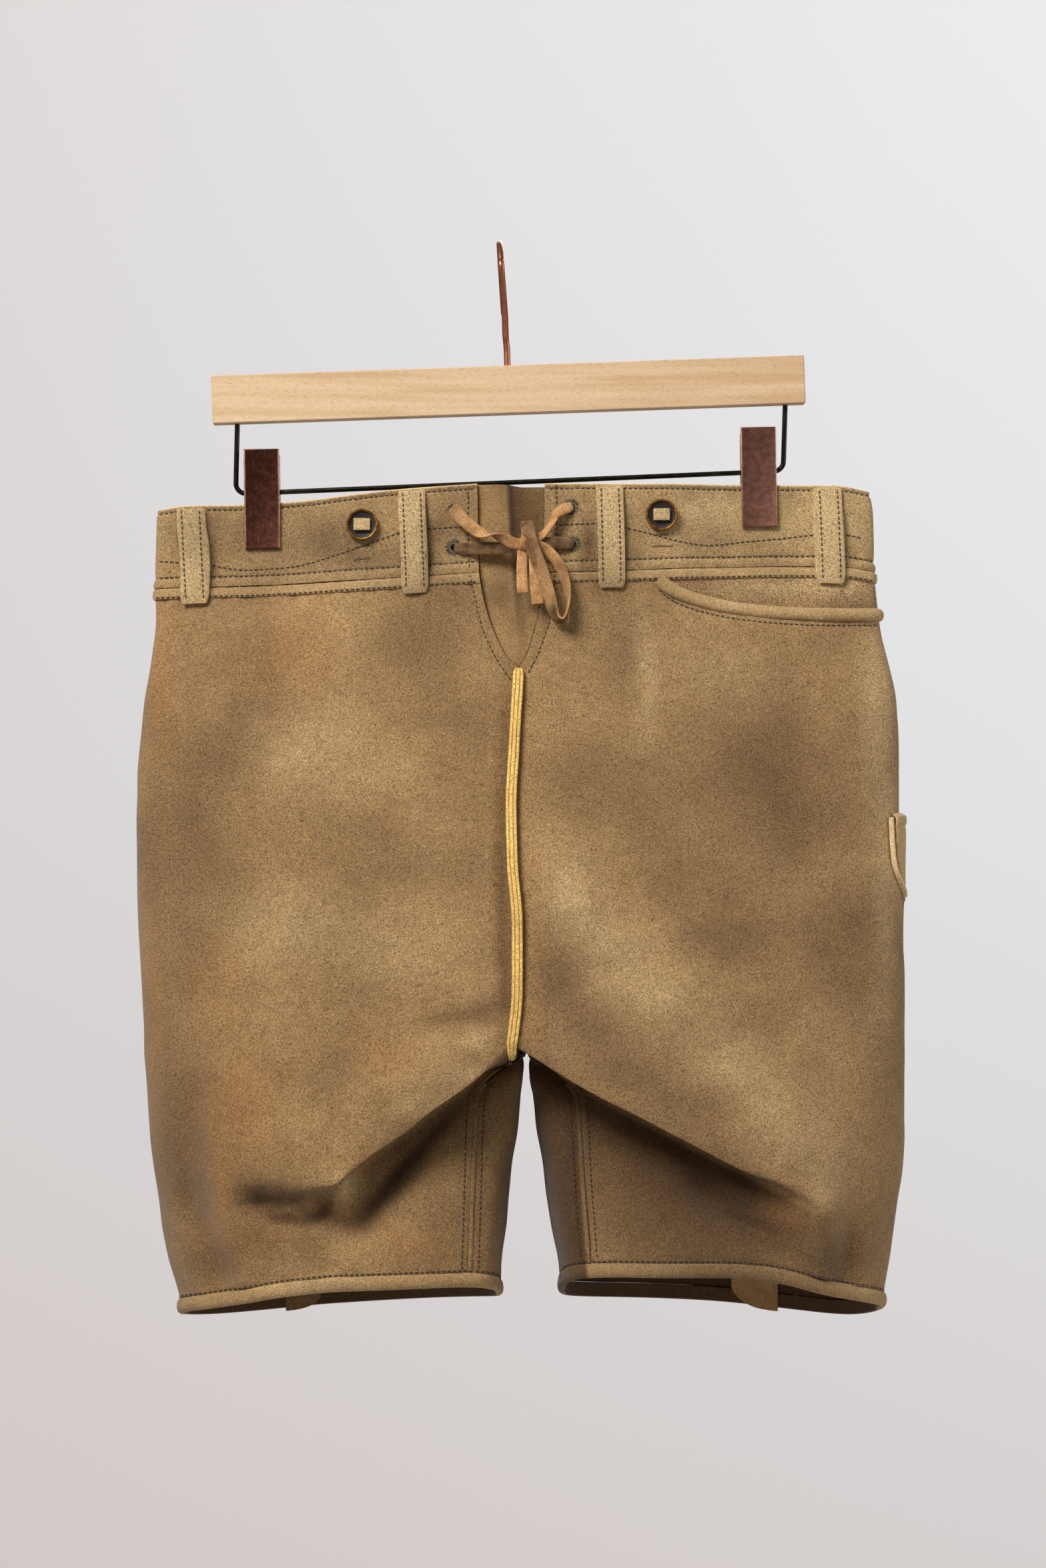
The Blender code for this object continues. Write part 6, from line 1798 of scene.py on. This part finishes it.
# %% [markdown]
# ## Stitches and eyelets
#
# Every seam is sewn by machine in dark waxed thread, about three stitches to the centimetre.
# A stitch is a short bent thread whose ends dive into the hide. Rays cast at the finished
# cloth find where it lies, so a row of stitches follows every dip. The rows are given as
# places across and up, in front or behind.

# %% The surface that the needle meets
def surface_of(*words):
    """A search tree over the pieces made so far whose names hold one of the words."""
    verts, faces, offset = [], [], 0
    for obj in bpy.context.scene.objects:
        if obj.type != "MESH" or "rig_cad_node" in obj or not any(w in obj.name for w in words):
            continue
        verts.append(vectors_of(obj.data.vertices, "co"))
        faces += [[v + offset for v in polygon.vertices] for polygon in obj.data.polygons]
        offset += len(obj.data.vertices)
    print("surface of", words, "with", len(faces), "faces")
    return BVHTree.FromPolygons(np.concatenate(verts).tolist(), faces)


BODY = surface_of("panel", "waistband_", "band_facing", "gusset", "pocket_bag", "hem_roll")
LOOPS = surface_of("_loop_", "knife_sheath")


def needle(x, z, face, surface=BODY):
    """(place, normal) where a needle from straight in front, or behind, meets the hide."""
    towards = 1 if face == "front" else -1
    place, normal, _, _ = surface.ray_cast(Vector((x, -towards, z)), Vector((0, towards, 0)))
    if place is None:
        return None
    return place, (normal if normal.y * towards < 0 else -normal)

# %% [markdown]
# A stitch is drawn as five rings of five points between its two ends, and a row sets stitches
# off along its line, one each pitch. A stitch is left out where the needle meets nothing.

# %% Stitches and rows
STITCH = ((-0.5, -0.0003, 0.0001), (-0.32, 0.00012, 0.0003), (0, 0.00026, 0.00034),
          (0.32, 0.00012, 0.0003), (0.5, -0.0003, 0.0001))
SIDES_OF_THREAD, LONGEST_STITCH = 5, 0.012


def sew(name, ends, finish, thick=1.18):
    """Stitches between pairs of (place, normal), all in one piece."""
    points, faces = [], []
    turn = np.linspace(0, math.tau, SIDES_OF_THREAD + 1)[:-1]
    for (a, normal_a), (b, normal_b) in ends:
        a, b, up = np.array(a), np.array(b), unit(np.array(normal_a + normal_b))
        length = np.linalg.norm(b - a)
        if length < 1e-5 or length > LONGEST_STITCH:
            continue
        run = (b - a) / length
        side_way = np.cross(run, up)
        start = len(points)
        for along_it, height, thickness in STITCH:
            centre = (a + b) / 2 + run * along_it * length + up * height * thick
            for angle in turn:
                points.append(centre + thickness * thick * (side_way * math.cos(angle)
                                                            + up * math.sin(angle)))
        n = SIDES_OF_THREAD
        for ring in range(len(STITCH) - 1):
            for k in range(n):
                i, j = start + ring * n + k, start + ring * n + (k + 1) % n
                faces.append((i, i + n, j + n, j))
        faces.append(tuple(start + k for k in range(n)))
        faces.append(tuple(start + (len(STITCH) - 1) * n + k for k in reversed(range(n))))
    mesh = bpy.data.meshes.new(name)
    mesh.from_pydata(points, [], faces)
    print(f"{name}: {len(points) // (len(STITCH) * SIDES_OF_THREAD)} stitches")
    return placed(name, mesh, [finish], sharp=80)


PITCH, STITCH_LENGTH = 0.0031, 0.0026


def row_ends(points, face="front", pitch=PITCH, length=STITCH_LENGTH, surface=BODY):
    """Pairs of (place, normal) for the stitches of one row through (x, z) places."""
    total = measured(points)
    starts = np.arange(0.0004, total - length, pitch)
    found = ([needle(*place, face, surface) for place in along(points, np.array(pair) / total)]
             for pair in zip(starts, starts + length))
    return [pair for pair in found if all(pair)]

# %% [markdown]
# Seams run along both edges of the band and the strip below it, a waved row crosses the band,
# two rows close the fly, and each buttonhole is a short slit of close stitches.

# %% Rows along the waistband
def band_row(side, start, end, above_bottom=None, below_top=None):
    """A seam parallel to one edge of the band, as (x, z) places on a front."""
    columns = np.linspace(start, end, 120)
    if below_top is not None:
        z = band_line(side, columns, "top") - below_top
    else:
        z = band_line(side, columns, "bottom") + above_bottom
    return stacked(trunk_front(side, columns, z)[:, 0], z)


seams = []
for side in SIDES:
    for keys in ({"below_top": TOP_SEAM}, {"above_bottom": LOW_SEAM},
                 {"above_bottom": -GAP - STRIP_SEAM}):
        seams += row_ends(band_row(side, 0.15, FOLD_COLUMN - 0.4, **keys))
WAVES = (
    metres(
        (-200.5, -185.8), (-192.3, -186.4), (-180, -187.2), (-172.6, -187.4), (-163.8, -189.2),
        (-151.3, -190.7), (-139.1, -190.3), (-116.3, -188), (-88.3, -180), (-61, -170.1), (-52, -168.2),
        (-41, -167), (-22.2, -165.8), (-19, -165.7)),
    metres(
        (34.5, -165), (38, -164.6), (56.4, -163.8), (65, -165), (74.4, -166.6), (87.4, -169.7),
        (105.8, -174.4), (122.9, -176.3), (142.8, -174.1), (168.7, -171.8), (186.5, -170.1), (195, -170),
        (204.6, -170.7), (214.9, -172.6)),
)
FLY = (
    metres(
        (-18.3, -140.5), (-18.3, -172.9), (-17.1, -194.5), (-14.3, -207.2), (-11.2, -221), (-6.1, -235.6),
        (1, -248.1), (6.8, -256.3)),
    metres(
        (33.4, -140.5), (33.7, -164.6), (33.7, -185.1), (29.4, -220.2), (27.8, -226.1), (23.5, -238.7),
        (16.9, -252.4)),
)
for places in WAVES + FLY:
    seams += row_ends(refined(places, 8))
SLITS = metres(
    (-85.6, -178, -74.7, -176.4), (-85.6, -185.5, -74.6, -183.9), (89.3, -170.5, 99.9, -170.5),
    (88.9, -177.2, 103, -177.2))
for x0, z0, x1, z1 in SLITS:
    seams += row_ends(((x0, z0), (x1, z1)), pitch=0.0016, length=0.0014)
sew("waistband_seams", seams, SEAM_THREAD)

# %% [markdown]
# Behind, the band is sewn as in front, and every long seam is felled with a row on each side
# of it.

# %% Rows behind
seams = []
for below, share in ((TOP_SEAM, 0), (-LOW_SEAM, 1), (GAP + STRIP_SEAM, 1)):
    line = back_line(share, below, lambda x, z: 0 * x)
    seams += row_ends(line[3:-3, ::2], "behind")
x = np.linspace(-0.145, 0.165, 60)
wave = stacked(x, -0.172 - 0.004 * np.cos((x - MIDDLE_X) * 34))
seams += row_ends(refined(wave, 8), "behind")
z = np.linspace(-0.205, FORK_Z, 50)
for shift in (-0.0035, 0.0035):
    seams += row_ends(stacked(seat_seam_x(z) + shift, z), "behind")
for side in SIDES:
    z = np.linspace(-0.205, -0.612, 80)
    for shift in (-0.003, 0.003):
        seams += row_ends(stacked(seam_x(side, z) + shift, z), "behind")
sew("back_seams", seams, SEAM_THREAD)

# %% [markdown]
# The loops are sewn down both sides, and the inseam is a low ridge between two rows. The
# hem's binding is held by one row just above it.

# %% Rows on the loops, the pockets, the inseams and the hems
seams = []
for side, top_x, bottom_x in FRONT_LOOPS:
    column = column_at(side, top_x, BAND_MIDDLE_Z)
    top, bottom = (band_line(side, column, w) for w in ("top", "bottom"))
    for shift in (-1, 1):
        inside = shift * (LOOP_WIDTH / 2 - 0.0031)
        seams += row_ends(((top_x + inside, top - 0.0025), (bottom_x + inside, bottom - 0.0085)),
                          surface=LOOPS)
for x in BACK_LOOPS:
    top, bottom = back_heights(x)
    for shift in (-1, 1):
        inside = x + shift * (LOOP_WIDTH / 2 - 0.0031)
        seams += row_ends(((inside, top - 0.0025), (inside, bottom - 0.0085)), "behind", surface=LOOPS)
sew("loop_seams", seams, SEAM_THREAD)

seams = []
x = np.linspace(0.093, 0.231, 90)
seams += row_ends(stacked(x, read(POCKET, "z", x) - 0.0062))
for side in SIDES:
    z = np.linspace(-0.4905, hem_z(side, read(INSEAM, side, -0.61), -0.05) - 0.0005, 60)
    for shift in (-0.0048, 0.0048):
        seams += row_ends(stacked(read(INSEAM, side, z) + shift, z))
    ridge = [(read(INSEAM, side, level), level) for level in z]
    met = [[needle(x + step, level, "front") for step in (-0.0016, 0.0016)]
           for x, level in ridge]
    line = np.array([(np.array(a[0]) + np.array(b[0])) / 2 for a, b in met if a and b])
    outward = np.array([np.array(a[1]) + np.array(b[1]) for a, b in met if a and b])
    angle = np.radians(np.linspace(0, 180, 7))
    welt = [(0.0014 * math.cos(a), 0.0013 * math.sin(a) - 0.0001) for a in angle]
    swept(f"inseam_ridge_{side}", line, outward, welt, [PANEL_SUEDE], "suede")
seams += row_ends(((0.218, -0.3395), (0.2265, -0.341)), surface=LOOPS)
sew("leg_and_pocket_seams", seams, SEAM_THREAD)

seams = []
for side in SIDES:
    for line, face in ((front_hem[side], "front"), (back_hem[side], "behind"),
                       (back_hem[side], "front")):
        outer = line[(line[:, 1] < 0) == (face == "front")]
        if len(outer) > 2:
            seams += row_ends(outer[:, ::2] + (0, 0.0009), face)
sew("hem_seams", seams, SEAM_THREAD)

# %% [markdown]
# ### Worked eyelets
#
# Each lace hole is bound with silk twist in close stitches that fan out from it, like a
# buttonhole. The hole itself is a small cup, its middle painted near black as the shade in it.

# %% Eyelets
EYELETS = {"UL": (-0.0273, -0.1556), "LL": (-0.027, -0.178), "UR": (0.042, -0.154),
           "LR": (0.0431, -0.176)}
fans = []
for number, (name, (x, z)) in enumerate(EYELETS.items()):
    jitter = np.random.RandomState(number + 70).uniform(-1, 1, 32)
    for k, angle in enumerate(np.linspace(0, math.tau, 33)[:-1] + 0.04 * jitter):
        reach = (0.0034 if name == "UL" else 0.0051) + 0.0005 * jitter[k]
        pair = [needle(x + r * math.cos(angle), z + 1.05 * r * math.sin(angle), "front")
                for r in (0.0024, reach)]
        if all(pair):
            fans.append(pair)
sew("eyelet_stitches", fans, EYELET_THREAD, thick=0.6)
for name, (x, z) in EYELETS.items():
    place, normal = needle(x, z, "front")
    cup = added(bpy.ops.mesh.primitive_circle_add, vertices=24, radius=0.0023, fill_type="NGON")
    with editing(cup, "SELECT"):
        bpy.ops.mesh.inset(thickness=0.0007, depth=-0.0003)
    cup.matrix_world = (Matrix.Translation(place + normal * 0.00055)
                        @ normal.to_track_quat("Z", "Y").to_matrix().to_4x4())
    settle(cup, f"eyelet_cup_{name}", [EYELET_THREAD, EYELET_HOLE_SHADE], None)
    # The cup's largest face, its middle, gets the painted shade of the hole.
    max(cup.data.polygons, key=lambda face: face.area).material_index = 1

# %% [markdown]
# ## Floor, light and background
#
# A garment this soft wants soft light. The key softbox hangs high in front on the left, so
# that the folds throw their shade down and to the right. Two tall ones from the sides, a weak
# one left and a stronger one right, open that shade, and one behind keeps the back from being
# lost. The floor is plain and pale, well below, and the world is a pale grey, a little
# lighter above and on the right.

# %% Stage
floor = added(bpy.ops.mesh.primitive_plane_add, size=5, location=(0, 0, -1.6))
floor.name = "pale_floor"
FLOOR = clouded("matt_white_floor", 1.5, (0.3, "#d8d4d1"), (0.7, "#dedad8"), 2, Roughness=0.9)
floor.data.materials.append(FLOOR)


def softbox(name, place, aim, size, power):
    lamp = added(bpy.ops.object.light_add, type="AREA", location=place)
    lamp.name = name
    lamp.data.shape, lamp.data.size, lamp.data.size_y = "RECTANGLE", *size
    lamp.data.energy = power
    lamp.rotation_euler = (Vector(aim) - Vector(place)).to_track_quat("-Z", "Y").to_euler()
    return lamp


softbox("softbox_key", (-1.05, -1.45, 1.3), (0, 0, -0.42), (1, 0.8), 63)
softbox("softbox_left", (-1.9, -1.2, 0.1), (0, 0, -0.4), (0.8, 1.3), 2.5)
softbox("softbox_right", (2.1, -0.7, 0.4), (0, 0, -0.4), (0.8, 1.3), 16)
softbox("softbox_behind", (0.4, 2, 0.9), (0, 0, -0.4), (1.4, 1), 22)

world = bpy.data.worlds.new("pale_studio")
bpy.context.scene.world = world
add = emptied(world)
look = add("TexCoord")
parts = add("SeparateXYZ", Vector=look.outputs["Generated"])
height, across = (add("MapRange", Value=parts.outputs[axis], From_Min=-reach, From_Max=reach)
                  for axis, reach in (("Z", 0.23), ("X", 0.15)))
left, right = (add("ValToRGB", {"stops": stops}, Fac=height)
               for stops in (((0, "#d1c7c5"), (0.5, "#d9d5d6"), (1, "#dfdbda")),
                             ((0, "#d4cecd"), (0.5, "#e3e3e5"), (1, "#efeff1"))))
sky = add("Mix", {"data_type": "RGBA"}, at={0: across, 6: left, 7: right})
seen = add("LightPath")
strength = add("MapRange", Value=seen.outputs["Is Camera Ray"], To_Min=0.22, To_Max=1)
glow = add("Background", Color=sky.outputs[2], Strength=strength)
add("OutputWorld", Surface=glow)
bpy.context.scene.view_settings.view_transform = "Standard"

# %% [markdown]
# ## Counting the pieces
#
# The last line counts the pieces that were made and their triangles.

# %% Counting the pieces
bpy.context.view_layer.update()
made = [o for o in bpy.context.scene.objects if o.type == "MESH" and "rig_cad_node" not in o]
print(len(made), "pieces,", sum(len(p.vertices) - 2 for o in made for p in o.data.polygons), "triangles")
